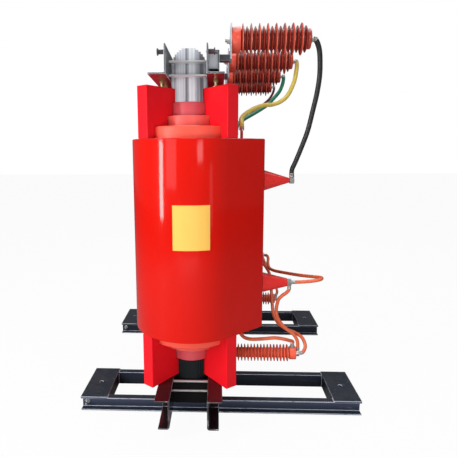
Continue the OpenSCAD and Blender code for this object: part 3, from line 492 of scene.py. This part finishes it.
# %% [markdown]
# The layers of the painted pieces: a painted red reflection of the blocks on the clamps'
# lower faces, the pale bluish-white gussets, the paler mounting plates, whose paint is thin,
# the front web of the front frame, which gets a painted bluish sheen that is brighter towards
# its top, and specks of grit on the flanges. Each layer is a short function that returns its mask.

# %% Painted pieces
GUSSETS_UP_TO_X, GUSSETS_UP_TO_Z, PLATES_FROM_X = -0.0145, 1.9985, 0.0496
FRONT_WEB_Y, SHEEN_FROM_Z, SHEEN_TO_Z = -0.70, 0.020, 0.052

def patchy(f):
    return 0.8 + f.cloud(30.0, 4.0) * 0.2

# The gussets are tinted pale bluish white.
def gussets(f):
    return f.axis("X").below(GUSSETS_UP_TO_X) * f.axis("Z").below(GUSSETS_UP_TO_Z) * patchy(f)

def mounting_plates(f):
    return f.axis("X").above(PLATES_FROM_X) * patchy(f)

# A painted red reflection of the blocks on the clamps' downward faces.
def painted_red_reflection_below(f):
    return (f.facing_up() * -1).between(0.5, 0.95)

# A painted bluish sheen on the front frame's front web, brighter towards its top.
def painted_web_sheen(f):
    upright = 1 - f.facing_up().magnitude().between(0.1, 0.4)
    height = 0.25 + 0.75 * f.axis("Z").between(SHEEN_FROM_Z, SHEEN_TO_Z)
    return upright * f.axis("Y").below(FRONT_WEB_Y) * height

def grit(f):
    return f.cloud(75.0, 3.0).between(0.62, 0.70) * f.facing_up().between(0.4, 0.9) * 0.25

frame_black = paint("frame_black_paint", (0.013, 0.017, 0.028), 0.34, dust_colour=(0.075, 0.072, 0.066),
                    specular=0.38, over=[(painted_web_sheen, (0.046, 0.056, 0.092)), (grit, (0.30, 0.29, 0.25))])
clamp_black = paint("clamp_gloss_black", (0.012, 0.006, 0.008), 0.16, dust=0.20,
                    dust_colour=(0.12, 0.030, 0.028), coat=0.3, specular=0.35)
clamp_grey = paint("clamp_dark_grey", (0.036, 0.038, 0.044), 0.30, dust=0.25, dust_colour=(0.20, 0.20, 0.21),
                   specular=0.34, under=[(painted_red_reflection_below, (0.20, 0.018, 0.026))])
rail_grey = paint("rail_dark_grey", (0.045, 0.050, 0.056), 0.32, under=[(gussets, (0.90, 0.93, 1.0))])
bracket_grey = paint("bracket_dark_grey", (0.050, 0.052, 0.058), 0.36,
                     under=[(mounting_plates, (0.46, 0.48, 0.54))])
# The lower board is coloured near black, as dark as the core's lower part.
board_black = paint("near_black_board", (0.006, 0.006, 0.006), 0.45, dust=0.0, specular=0.08)
print("paint finishes")

# %% [markdown]
# ### Edge wear and highlights
# Paint is thin on an edge: the lighter metal underneath shows through in stretches, and the
# same lighter stretches stand for a painted highlight along the edge. Such a line could be a
# mask, but the bevelled edge is a strip of faces of its own, and Bevel can give that strip its
# own material slot. So the wear and the painted highlight are one more material.

# %% Worn edges
def edge_wear_and_highlight(name, paint_colour, bare_colour, amount):
    f = Finish(name, bare_colour, 0.34, metallic=0.3)
    # Lighter stretches of metal: edge wear, and a painted highlight along the edge.
    lightened = f.cloud(16.0, 5.0, 0.65).between(0.62 - amount, 0.86 - amount)
    f.set("Base Color", f.tint(lightened, paint_colour, bare_colour))
    f.set("Roughness", 0.30 + f.cloud(60.0, 3.0) * 0.20)
    f.set("Normal", f.bump(f.cloud(240.0, 2.0), 0.0004, 0.5))
    return f.material

frame_edge = edge_wear_and_highlight("frame_edge_wear_and_highlight", (0.075, 0.085, 0.110), (0.42, 0.45, 0.52), 0.36)
clamp_edge = edge_wear_and_highlight("clamp_edge_wear_and_highlight", (0.080, 0.078, 0.085), (0.55, 0.56, 0.58), 0.16)
rail_edge = edge_wear_and_highlight("rail_edge_wear_and_highlight", (0.090, 0.095, 0.105), (0.60, 0.62, 0.66), 0.38)
print("edge finishes")

# %% [markdown]
# ### Plating and pressboard
# Nuts and bolts are zinc plated, the press bolts yellow zinc, the lugs tinned. Plating
# tarnishes in patches, and a patch is both darker and duller, so one mask feeds colour and
# roughness. The flat bars are rolled steel, whose grain is noise that is stretched along
# the bar. Pressboard is brown fibre board with level flecks.

# %% Plating and pressboard
def plated(name, colour, roughness, tarnish, amount=0.35, grain=(60, 60, 60)):
    f = Finish(name, colour, roughness, metallic=0.92)
    patches = f.cloud(22.0, 5.0).between(0.45, 0.8) * amount
    f.set("Base Color", f.tint(patches, colour, tarnish))
    f.set("Roughness", roughness + patches * 0.5)
    f.set("Normal", f.bump(f.cloud(4.0, 3.0, stretch=grain), 0.0002, 0.6))
    return f.material

def fibre_board(name, colour, dark, light):
    f = Finish(name, colour, 0.75)
    f.set("Base Color", f.tint(f.cloud(30.0, 6.0, stretch=(1, 1, 4)), dark, light))
    f.set("Normal", f.bump(f.cloud(160.0, 3.0), 0.0004))
    return f.material

zinc = plated("zinc_plating", (0.66, 0.66, 0.64), 0.30, (0.34, 0.33, 0.30))
yellow_zinc = plated("yellow_zinc", (0.74, 0.60, 0.30), 0.30, (0.42, 0.30, 0.14))
bright_steel = plated("bright_steel", (0.93, 0.93, 0.93), 0.42, (0.62, 0.62, 0.62), 0.2, (2, 20, 20))
tin = plated("tinned_copper", (0.70, 0.68, 0.66), 0.34, (0.30, 0.24, 0.20), 0.6)
pressboard = fibre_board("pressboard", (0.52, 0.38, 0.20), (0.44, 0.31, 0.15), (0.60, 0.46, 0.26))
print("plating and board finishes")

# %% [markdown]
# ### Cable jackets, enamel and the floor
# Rubber jackets are nearly matt, slightly cloudy and have darker finger marks. The yellow
# plate on the front coil is a bare enamelled sheet. The floor is white paper: to the camera
# it glows almost white, as an overexposed sweep does, and the pieces get only the weak grey
# light that a real floor returns.

# %% Jackets, enamel and floor
def jacket(name, colour, roughness=0.36, coat=0.15):
    f = Finish(name, colour, roughness, coat=coat)
    base = f.tint(f.cloud(14.0, 4.0), shade_of(colour, 0.78), shade_of(colour, 1.2))
    f.set("Base Color", f.tint(f.cloud(40.0, 4.0).between(0.6, 0.8) * 0.35, base, shade_of(colour, 0.5)))
    f.set("Roughness", roughness + (f.cloud(24.0, 3.0) - 0.5) * 0.2)
    f.set("Normal", f.bump(f.cloud(30.0, 2.0), 0.0001, 0.4))
    return f.material

def enamel(name, colour, dark, light):
    f = Finish(name, colour, 0.30, specular=0.3)
    f.set("Base Color", f.tint(f.cloud(9.0, 3.0), dark, light))
    f.set("Roughness", 0.28 + f.cloud(30.0, 4.0) * 0.12)
    f.set("Normal", f.bump(f.cloud(60.0, 2.0), 0.0003, 0.5))
    return f.material

jacket_black = jacket("jacket_black", (0.018, 0.018, 0.020), 0.42, 0.0)
jacket_yellow = jacket("jacket_mustard", (0.66, 0.50, 0.095))
jacket_green = jacket("jacket_teal_green", (0.018, 0.20, 0.115))
jacket_maroon = jacket("jacket_maroon", (0.12, 0.008, 0.014))
jacket_salmon = jacket("jacket_salmon", (0.66, 0.125, 0.050))
plate_yellow = enamel("yellow_enamel", (0.75, 0.43, 0.085), (0.72, 0.405, 0.075), (0.79, 0.46, 0.098))

sweep = Finish("white_sweep", (0.30, 0.30, 0.30), 0.60)
sweep.set("Base Color", sweep.tint(sweep.cloud(0.8, 3.0), (0.29, 0.29, 0.29), (0.31, 0.31, 0.31)))
paper = sweep.tree.nodes.new("ShaderNodeEmission")
paper.inputs["Strength"].default_value = 1.06
seen_as(sweep.tree, sweep.tree.nodes["Material Output"].inputs["Surface"], sweep.shader, paper, 0.9)
floor.data.materials.append(sweep.material)
print(len(bpy.data.materials), "materials")

# %% [markdown]
# ## Making and finishing a piece
# Each new piece ends the same way: its place is applied, so the object sits at the origin
# like a node of the frame, its round faces are shaded smooth and its sharp edges stay
# sharp, it gets its finish, and it rides on the transformer's one body. Doing this in one
# function means that no piece can miss a step.

# %% Finishing a piece
def dress(piece, name, finish, replaces=(), smooth=30.0):
    pick(piece)
    bpy.ops.object.transform_apply(location=True, rotation=True, scale=True)
    piece.name = piece.data.name = name
    bpy.ops.object.shade_smooth_by_angle(angle=math.radians(smooth))
    if finish:
        piece.data.materials.clear()
        piece.data.materials.append(finish)
    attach(piece, "root")
    if replaces:
        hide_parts(*replaces)

def edit(piece):
    """Open a piece in Edit Mode with all its vertices selected."""
    pick(piece)
    bpy.ops.object.mode_set(mode="EDIT")
    bpy.ops.mesh.select_mode(type="VERT")
    bpy.ops.mesh.select_all(action="SELECT")

def leave_edit():
    bpy.ops.object.mode_set(mode="OBJECT")

def round_edges(piece, width, segments, angle, edge_slot=-1):
    pick(piece)
    edges = piece.modifiers.new("round_edges", "BEVEL")
    edges.limit_method = "ANGLE"
    edges.angle_limit = math.radians(angle)
    edges.width = width
    edges.segments = segments
    edges.material = edge_slot
    edges.use_clamp_overlap = False
    bpy.ops.object.modifier_apply(modifier=edges.name)

print("piece helpers ready")

# %% [markdown]
# ## Steelwork and blocks
# Flame-cut plates, folded channels and moulded blocks never have knife edges: a rounded
# edge catches a thin line of light. The frame's solids have sharp edges. They could be
# drawn again, but a copy of each is quicker and exactly in place: it is merged, freed of
# the triangles' diagonals and bevelled, and stands for its node.

# %% A rounded copy of a solid
FLAT_WITHIN, SHARP_FROM = 0.6, 40.0

def rounded_copy(node, finish, width, segments, edge):
    piece = in_scene(bpy.data.objects.new(node + "_rounded", nodes[node].data.copy()))
    edit(piece)
    bpy.ops.mesh.remove_doubles(threshold=0.00001)
    bpy.ops.mesh.dissolve_limited(angle_limit=math.radians(FLAT_WITHIN))
    leave_edit()
    piece.data.materials.clear()
    piece.data.materials.append(finish)
    if edge:
        piece.data.materials.append(edge)
    round_edges(piece, width, segments, SHARP_FROM, 1 if edge else -1)
    dress(piece, node + "_rounded", None, (node,))
    level = piece.modifiers.new("flat_faces_stay_flat", "WEIGHTED_NORMAL")
    level.keep_sharp = True
    bpy.ops.object.modifier_apply(modifier=level.name)

blocks = [name + end for name in LIMBS for end in ("_lower_blocks", "_upper_blocks")]
# Nodes, finish, width of the rounding in mm, its segments, finish of the edge wear and highlight
ROUNDED = (
    (("front_base_frame", "rear_base_frame"), frame_black, 2.6, 2, frame_edge),
    (("lower_clamp_left", "lower_clamp_right"), clamp_black, 2.6, 2, clamp_edge),
    (("upper_clamp_left", "upper_clamp_right"), clamp_grey, 1.6, 2, rail_edge),
    (("insulator_rail",), rail_grey, 1.6, 2, rail_edge),
    (("insulator_brackets",), bracket_grey, 1.4, 2, rail_edge),
    (("low_post_brackets",), frame_black, 1.4, 2, frame_edge),
    (("upper_tie_bars",), bright_steel, 1.0, 2, None),
    (blocks, block_red, 4.0, 3, None),
    (("frame_bolts", "core_bolts", "tie_bar_bolts", "earth_studs", "insulator_nuts"), zinc, 0.8, 2, None),
    (("press_bolts",), yellow_zinc, 0.8, 2, None),
    (("cone_nuts",), zinc, 0.8, 2, None),
    (("lower_tie_rods",), bright_steel, 0.6, 2, None),
    (("lifting_pins",), clamp_grey, 1.0, 2, None),
    (("winding_stubs",), winding_red, 1.0, 2, None),
)
for group, finish, width, segments, edge in ROUNDED:
    for node in group:
        rounded_copy(node, finish, mm(width), segments, edge)
print(sum(len(row[0]) for row in ROUNDED), "rounded pieces")

# %% [markdown]
# ## The core
# The core and its pressboard keep the frame's own meshes: sheets do have square edges, so
# only the material is new.

# %% Core sheets and boards
def finish_node(node, finish):
    for slot in nodes[node].material_slots:
        slot.material = finish

for name in LIMBS:
    finish_node(name + "_limb", core_steel)
finish_node("upper_yoke", core_steel)
finish_node("lower_yoke", core_black)
finish_node("lower_pressboard", board_black)
finish_node("upper_pressboard", pressboard)
print("core dressed")

# %% [markdown]
# ## Turned shapes
# Rings, tubes, cones and insulators are all turned. By hand: one vertex is extruded point
# by point along half of the section, and Spin sweeps it round. Merging the doubled seam and
# recalculating the normals closes the shape. Screw and a curve's bevel object could turn a
# section too, but Spin shows its steps. A ring's section is a loop of its own, so it gets
# one more edge between its two ends.

# %% Spin a section round an axis
def close_loop(piece):
    shape = bmesh.new()
    shape.from_mesh(piece.data)
    shape.verts.ensure_lookup_table()
    shape.edges.new((shape.verts[0], shape.verts[-1]))
    shape.to_mesh(piece.data)
    shape.free()

def turned(outline, centre, axis, steps, closed=False):
    """outline holds (distance along the axis, radius) in millimetres."""
    axis = Vector(axis)
    out = Vector((0, 0, 1)) if abs(axis.z) < 0.5 else Vector((1, 0, 0))
    points = [centre + axis * mm(along) + out * mm(radius) for along, radius in outline]
    clear()
    bpy.ops.mesh.primitive_plane_add(size=0.01, location=points[0])
    piece = bpy.context.object
    edit(piece)
    bpy.ops.mesh.merge(type="CENTER")
    for here, there in zip(points, points[1:]):
        bpy.ops.mesh.extrude_vertices_move(TRANSFORM_OT_translate={"value": there - here})
    leave_edit()
    if closed:
        close_loop(piece)
    edit(piece)
    bpy.ops.mesh.spin(steps=steps, angle=2 * math.pi, center=centre, axis=axis)
    bpy.ops.mesh.select_all(action="SELECT")
    bpy.ops.mesh.remove_doubles(threshold=0.00002)
    bpy.ops.mesh.normals_make_consistent(inside=False)
    leave_edit()
    return piece

print("spin helper ready")

# %% [markdown]
# ## Windings and tubes
# Inside each coil stand three rings: the inner winding, a barrier and the limb's tube. Each
# is a tall ring with softly rounded rims. Its section is a rectangle with four quarter
# circles for corners, worked out by a loop.

# %% Rings round the limbs
CORNER_STEPS = 4

def rounded_ring(r_out, wall, half, corner):
    """Section of a ring: a rectangle with rounded corners, as (along, radius)."""
    points = []
    for turn, along, radius in ((0, half, r_out), (1, half, r_out - wall),
                                (2, -half, r_out - wall), (3, -half, r_out)):
        middle_along = along - math.copysign(corner, along)
        middle_radius = radius + (corner if turn in (1, 2) else -corner)
        for i in range(CORNER_STEPS + 1):
            a = math.radians(90 * (turn + i / CORNER_STEPS))
            points.append((middle_along + corner * math.sin(a), middle_radius + corner * math.cos(a)))
    return points

# Part, outer radius, wall, half height, corner radius, finish
RINGS = (
    ("inner_winding", 245, 80, 589, 9, winding_red),
    ("barrier", 149, 22, 647, 4, barrier_red),
    ("limb_tube", 110, 6, 717, 1.5, tube_red),
)
for name, y in LIMBS.items():
    for part, r_out, wall, half, corner, finish in RINGS:
        section = rounded_ring(r_out, wall, half, corner)
        ring = turned(section, at(0, y, WINDING_Z), (0, 0, 1), steps=128, closed=True)
        dress(ring, "%s_%s_ring" % (name, part), finish, ("%s_%s" % (name, part),))
print(len(LIMBS) * len(RINGS), "rings")

# %% [markdown]
# ## The cast coils
# A coil is a thick tube of resin that runs out into a flat boss on the terminal side. Its
# plan is what a string would draw round one large and two small circles, so Convex Hull
# over three cylinders gives it in one step, where an extruded outline would need every
# point. A cutter cylinder then takes out the bore with a Boolean, and Bevel rounds the rims.

# %% A coil's casting
COIL_R, COIL_WALL, COIL_H = 316.0, 54.0, 1052.0
BOSS_W, BOSS_CORNER, RIM_ROUNDING = 160.0, 22.0, 6.0
CUTTER_OVERLENGTH = 80.0

def cut_bore(coil, centre):
    clear()
    bpy.ops.mesh.primitive_cylinder_add(vertices=160, radius=mm(COIL_R - COIL_WALL),
                                        depth=mm(COIL_H + CUTTER_OVERLENGTH), location=centre)
    cutter = bpy.context.object
    pick(coil)
    bore = coil.modifiers.new("bore", "BOOLEAN")
    bore.operation, bore.object, bore.solver = "DIFFERENCE", cutter, "EXACT"
    bpy.ops.object.modifier_apply(modifier=bore.name)
    bpy.data.objects.remove(cutter)

def coil_casting(y):
    clear()
    centre = at(0, y, WINDING_Z)
    bpy.ops.mesh.primitive_cylinder_add(vertices=192, radius=mm(COIL_R), depth=mm(COIL_H), location=centre)
    coil = bpy.context.object
    edit(coil)
    for side in (-1, 1):
        corner = at(BOSS_REACH - BOSS_CORNER, y + side * (BOSS_W / 2 - BOSS_CORNER), WINDING_Z)
        bpy.ops.mesh.primitive_cylinder_add(vertices=64, radius=mm(BOSS_CORNER), depth=mm(COIL_H),
                                            location=corner)
    bpy.ops.mesh.select_all(action="SELECT")
    bpy.ops.mesh.convex_hull()
    bpy.ops.mesh.select_all(action="SELECT")
    bpy.ops.mesh.dissolve_limited(angle_limit=math.radians(0.4))
    leave_edit()
    cut_bore(coil, centre)
    round_edges(coil, mm(RIM_ROUNDING), segments=3, angle=60.0)
    return coil

print("coil", COIL_R * 2, "mm across,", COIL_H, "mm high")

# %% [markdown]
# Two cones stand on the boss of each coil and end in the terminals. They are cast on, so
# each runs into the boss with a small fillet, and they are turned round a level axis and
# joined to the casting.

# %% Cones, and the whole coils
CONE_ROOT_R, ROOT_SINK, ROOT_FILLET = 59.0, 7.0, 4.0
FOOT_R = CONE_ROOT_R + 3
UPPER_CONE_RISE, LOWER_CONE_DROP, UPPER_TIP_R, LOWER_TIP_R = 300.0, 284.0, 12.0, 23.0
CONE_LENGTHS = {"front": 145.0, "middle": 55.0, "rear": 55.0}

def terminal_cone(y, z, length, tip_r):
    slope = (CONE_ROOT_R - tip_r) / length
    section = [(-ROOT_SINK, FOOT_R), (0, FOOT_R)]
    for i in range(1, 5):
        a = math.radians(90 / 4 * i)
        along = ROOT_FILLET - ROOT_FILLET * math.cos(a)
        section.append((along, FOOT_R - ROOT_FILLET * math.sin(a) - slope * along))
    section += [(length - 4, tip_r + 4 * slope), (length - 1.2, tip_r), (length, tip_r - 2.5), (length, 0)]
    return turned(section, at(BOSS_REACH, y, z), (1, 0, 0), steps=64)

def joined(parts):
    clear()
    for part in parts:
        part.select_set(True)
    bpy.context.view_layer.objects.active = parts[0]
    bpy.ops.object.join()
    return parts[0]

for name, y in LIMBS.items():
    casting = joined([
        coil_casting(y),
        terminal_cone(y, WINDING_Z + UPPER_CONE_RISE, CONE_LENGTHS[name], UPPER_TIP_R),
        terminal_cone(y, WINDING_Z - LOWER_CONE_DROP, CONE_LENGTHS[name], LOWER_TIP_R)])
    dress(casting, name + "_coil_casting", coil_red, (name + "_coil",), smooth=25.0)
print(len(LIMBS), "coils")

# %% [markdown]
# ## Post insulators
# The upper insulators carry large and small sheds by turns, so that rain cannot bridge
# them; the lower ones have equal sheds. A shed is thin at the rim and thick at the stem.
# Its rim has a small round of its own, because that is what shows as a light line from
# every side. The shed's outline is written once and repeated along the stem by a loop.

# %% Sections of the insulators
UPPER_STEM, UPPER_PAIRS, UPPER_FIRST, UPPER_STEP, UPPER_WIDTH = 48.0, 8, 56.0, 41.5, 17.75
LARGE_SHED, SMALL_SHED = 77.4, 64.0
LOWER_STEM, LOWER_SHEDS, LOWER_START, LOWER_STEP, LOWER_WIDTH = 28.0, 17, 26.0, 19.0, 15.0
LOWER_SHED = 49.0

def shed(x, r, stem, w):
    """Outline of a shed with its rim at x: radius r, w wide where it meets the stem."""
    left, right = x - w / 2, x + w / 2
    return [(left, stem), (left + 2.2, stem + 2.5), (x - 2.4, r - 3.2), (x - 1.3, r - 0.7), (x, r),
            (x + 1.5, r - 0.9), (x + 2.2, r - 3.6), (right - 1.6, stem + 2.5), (right, stem)]

upper_section = [(0, 0), (0, 60), (1.5, 63), (4, 64), (41, 64), (44.5, 62.5), (46, 59), (46.5, 50),
                 (47.5, UPPER_STEM)]
for i in range(UPPER_PAIRS):
    for place, radius in ((i, LARGE_SHED), (i + 0.5, SMALL_SHED)):
        upper_section += shed(UPPER_FIRST + place * UPPER_STEP, radius, UPPER_STEM, UPPER_WIDTH)
upper_section += [(377, 48.2), (379, 49), (389, 49), (392, 47.5), (393, 45), (393, 0)]

lower_section = [(0, 0), (0, 35.5), (1.5, 37), (20.5, 37), (22, 36), (24, LOWER_STEM)]
for i in range(LOWER_SHEDS):
    lower_section += shed(LOWER_START + (i + 0.5) * LOWER_STEP, LOWER_SHED, LOWER_STEM, LOWER_WIDTH)
lower_section += [(349, LOWER_STEM), (351, 36), (352.5, 37), (386, 37), (388.5, 35.5), (389, 33), (389, 0)]
print(len(upper_section), "and", len(lower_section), "points")

# %% [markdown]
# One insulator of each kind is turned, with its axis level and its foot on its bracket.
# The others of the row are copies with meshes of their own, moved along the row.

# %% Insulators
def row_of_posts(section, steps, first_y, axis_z, pitch, names, finish):
    post = turned(section, at(INS_FOOT, first_y, axis_z), (1, 0, 0), steps)
    dress(post, names[0] + "_turned", finish, (names[0],), smooth=40.0)
    for i, node in enumerate(names[1:], 1):
        twin = in_scene(bpy.data.objects.new(node + "_turned", post.data.copy()))
        twin.location = (0, mm(i * pitch), 0)
        dress(twin, node + "_turned", finish, (node,), smooth=40.0)

row_of_posts(upper_section, 72, -1.5 * INS_PITCH, INS_Z, INS_PITCH,
             ("post_front", "post_second", "post_third", "post_rear"), post_brown)
row_of_posts(lower_section, 64, LIMBS["front"], LOW_INS_Z, LOW_PITCH,
             ("low_post_front", "low_post_rear"), post_orange)
print("six insulators")

# %% [markdown]
# ## Leads
# The leads are stiff insulated cables with both ends bolted down. Their routes are the
# drawing's listed points, the same as in the imported solids. A smooth curve runs
# through all of them: between two points it follows the line from the point before to the
# point after.

# %% Routes of the leads
LEAD_X, STUB_R = 624, 283

# Diameter, jacket, points
ROUTES = {
    "black_lead": (26, jacket_black, [
        (LEAD_X, -829.5, 1995), (LEAD_X + 12, -829.5, 1994), (650, -827, 1976), (664, -815, 1940),
        (671, -805, 1885), (674, -790, 1820), (668, -770, 1740), (654, -750, 1655), (634, -730, 1550),
        (606, -712, 1460), (578, -698, 1382), (562, -690, 1340), (562, -690, 1300)]),
    "yellow_lead": (26, jacket_yellow, [
        (LEAD_X, -276.5, 1995), (LEAD_X + 12, -276.5, 1994), (643, -277, 1972), (640, -278, 1932),
        (628, -280, 1870), (592, -290, 1792), (547, -310, 1750), (493, -335, 1728), (437, -370, 1720),
        (380, -420, 1700), (330, -490, 1670), (298, -570, 1642), (STUB_R, -650, 1616),
        (STUB_R, -690, 1588), (STUB_R, -690, 1556)]),
    "green_lead": (26, jacket_green, [
        (LEAD_X, 276.5, 1995), (LEAD_X + 12, 276.5, 1994), (640, 277, 1970), (632, 276, 1930),
        (611, 272, 1882), (567, 260, 1830), (520, 235, 1782), (461, 200, 1742), (400, 150, 1705),
        (345, 95, 1672), (STUB_R + 14, 40, 1632), (STUB_R, 0, 1592), (STUB_R, 0, 1556)]),
    "red_lead": (20, jacket_maroon, [
        (LEAD_X, 829.5, 1995), (LEAD_X + 12, 829.5, 1994), (637, 829, 1970), (625, 828, 1932),
        (598, 822, 1890), (550, 810, 1847), (498, 790, 1806), (444, 762, 1762), (380, 735, 1715),
        (325, 712, 1662), (STUB_R + 4, 690, 1610), (STUB_R, 690, 1556)]),
    "return_lead": (20, jacket_salmon, [
        (574, -690, 698), (630, -690, 700), (690, -689, 705), (730, -686, 711), (752, -668, 714),
        (752, -640, 713), (732, -605, 706), (655, -520, 692), (580, -410, 677), (522, -310, 665),
        (502, -220, 661), (503, -130, 672), (512, -62, 688), (507, -18, 697), (484, 0, 698)]),
    "front_drop_lead": (20, jacket_salmon, [
        (562, -690, 680), (562, -692, 655), (546, -700, 638), (520, -704, 620), (500, -700, 590),
        (492, -696, 520), (512, -694, 465), (550, -692, 420), (592, -691, 388), (618, -690, 345),
        (622, -690, 300), (622, -690, 287)]),
    "middle_drop_lead": (20, jacket_salmon, [
        (472, 0, 680), (472, 0, 662), (479, -22, 642), (495, -90, 628), (508, -190, 608),
        (505, -330, 545), (500, -430, 490), (500, -510, 440), (520, -570, 408), (560, -610, 386),
        (612, -636, 372), (652, -655, 350), (668, -678, 310), (656, -689, 278), (642, -690, 270),
        (630, -690, 270)]),
    "rear_drop_lead": (20, jacket_salmon, [
        (472, 690, 680), (472, 690, 668), (478, 682, 646), (500, 655, 618), (536, 580, 550),
        (570, 490, 470), (602, 410, 400), (628, 345, 345), (632, 310, 318), (622, 300, 300),
        (622, 300, 287)]),
    "bottom_lead": (20, jacket_salmon, [
        (STUB_R, -690, 408), (288, -694, 386), (310, -704, 367), (350, -716, 362), (420, -730, 372),
        (480, -735, 380), (530, -730, 372), (566, -712, 356), (590, -690, 340), (590, -690, 327),
        (590, -690, 315)]),
}

def through_points(route, steps=8):
    points = [Vector(p) for p in route]
    curve = []
    for i in range(len(points) - 1):
        a, b = points[max(i - 1, 0)], points[i]
        c, d = points[i + 1], points[min(i + 2, len(points) - 1)]
        for j in range(steps):
            t = j / steps
            curve.append(0.5 * (2 * b + (c - a) * t + (2 * a - 5 * b + 4 * c - d) * t * t
                                + (3 * b - a - 3 * c + d) * t * t * t))
    return [at(*p) for p in curve + [points[-1]]]

print(len(ROUTES), "routes")

# %% [markdown]
# Blender gives a curve its thickness: a poly spline with a round bevel and filled caps,
# turned into a mesh. The default twist is kept, because the tangent twist turns the rings
# against each other and pinches the tube.

# %% Cables
CABLE_ROUNDNESS = 10

def swept(name, points, radius, roundness, swell=None):
    """A round bar along the points. swell holds a share of the radius for each point."""
    line = bpy.data.curves.new(name + "_line", "CURVE")
    line.dimensions = "3D"
    spline = line.splines.new("POLY")
    spline.points.add(len(points) - 1)
    for i, place in enumerate(points):
        spline.points[i].co = (*place, 1)
        spline.points[i].radius = swell[i] if swell else 1.0
    line.bevel_depth = radius
    line.bevel_resolution = roundness
    line.use_fill_caps = True
    pick(in_scene(bpy.data.objects.new(name, line)))
    bpy.ops.object.convert(target="MESH")
    return bpy.context.object

for node, (diameter, finish, route) in ROUTES.items():
    points = through_points(route)
    piece = swept(node + "_cable", points, mm(diameter) / 2, CABLE_ROUNDNESS)
    dress(piece, node + "_cable", finish, (node,), smooth=50.0)
    mm(diameter)

# %% [markdown]
# Each lead ends in the crimped barrel of a tinned lug. A barrel is a short tube that is
# swept along the first stretch of the same curve, a little thicker than the jacket, with
# two crimp grooves pressed into it: there the curve's points have a smaller radius.

# %% Lug barrels
BARREL, BARREL_WALL, BARREL_STEPS, BARREL_ROUNDNESS = 22.0, 0.9, 24, 5
GROOVES, GROOVE_HALF, GROOVE_SHARE = (8.0, 15.0), 1.5, 0.94

def barrel(route, diameter):
    points = through_points(route, BARREL_STEPS)
    gone, kept, swell = 0.0, [points[0]], [1.0]
    for a, b in zip(points, points[1:]):
        gone += (b - a).length * 1000
        if gone > BARREL:
            break
        kept.append(b)
        crimped = min(abs(gone - groove) for groove in GROOVES) < GROOVE_HALF
        swell.append(GROOVE_SHARE if crimped else 1.0)
    return swept("barrel", kept, mm(diameter / 2 + BARREL_WALL), BARREL_ROUNDNESS, swell)

barrels = []
for diameter, finish, route in ROUTES.values():
    barrels += [barrel(route, diameter), barrel(route[::-1], diameter)]
dress(joined(barrels), "lug_barrels", tin, smooth=35.0)
print(len(barrels), "lug barrels")

# %% [markdown]
# ## Weld beads
# The end plates are welded onto the frames' channels. A weld bead is a row of small
# overlapping drops: a line along the joint whose radius swells and shrinks with every drop.
# The same sweep makes it, with four points to a drop.

# %% Weld beads
PLATE_EDGES, FRAME_YS = ((-500.0, 1), (830.0, -1)), (-575.0, 575.0)
FLANGE_INNER, FLANGE_OUTER, BEAD_OUT, BEAD_UP, BEAD_R = 137.0, 178.0, 1.0, 1.0, 3.6
DROP, DROP_SHAPE, BEAD_END, BEAD_ROUNDNESS = 5.0, (1.0, 0.86, 0.78, 0.9), 0.3, 3

def bead(start, end):
    steps = int((end - start).length * 1000 / DROP * len(DROP_SHAPE))
    points = [start.lerp(end, i / steps) for i in range(steps + 1)]
    swell = [DROP_SHAPE[i % len(DROP_SHAPE)] for i in range(steps + 1)]
    swell[0] = swell[-1] = BEAD_END
    return swept("bead", points, mm(BEAD_R), BEAD_ROUNDNESS, swell)

beads = [
    bead(at(x + BEAD_OUT * side, y + half * FLANGE_INNER, BEAD_UP),
         at(x + BEAD_OUT * side, y + half * FLANGE_OUTER, BEAD_UP))
    for x, side in PLATE_EDGES for y in FRAME_YS for half in (-1, 1)]
dress(joined(beads), "weld_beads", frame_edge, smooth=50.0)
print(len(beads), "weld beads")

# %% [markdown]
# ## The yellow plate
# A thin enamelled plate lies on the varnish of the front coil and follows its curve. It
# starts as a flat grid, is bent by moving each column onto the cylinder, and gets its
# thickness from Solidify. A flat plate would stand off the coil at both ends.

# %% Plate on the front coil
PLATE_LEFT, PLATE_RIGHT, PLATE_LOW, PLATE_HIGH = -73.0, 114.0, 949.0, 1178.0
PLATE_GAP, PLATE_T = 0.3, 1.4

clear()
bpy.ops.mesh.primitive_grid_add(x_subdivisions=24, y_subdivisions=12, size=1)
plate = bpy.context.object
edit(plate)
bpy.ops.transform.resize(value=(mm(PLATE_RIGHT - PLATE_LEFT), mm(PLATE_HIGH - PLATE_LOW), 1))
leave_edit()
for vertex in plate.data.vertices:
    x = (PLATE_LEFT + PLATE_RIGHT) / 2 + vertex.co.x * 1000
    z = (PLATE_LOW + PLATE_HIGH) / 2 + vertex.co.y * 1000
    vertex.co = at(x, LIMBS["front"] - math.sqrt((COIL_R + PLATE_GAP) ** 2 - x * x), z)
pick(plate)
thick = plate.modifiers.new("thickness", "SOLIDIFY")
thick.thickness, thick.offset = mm(PLATE_T), 1.0
bpy.ops.object.modifier_apply(modifier=thick.name)
dress(plate, "yellow_plate", plate_yellow)
print("plate", PLATE_RIGHT - PLATE_LEFT, "by", PLATE_HIGH - PLATE_LOW, "mm")

# %% Update the view layer
bpy.context.view_layer.update()
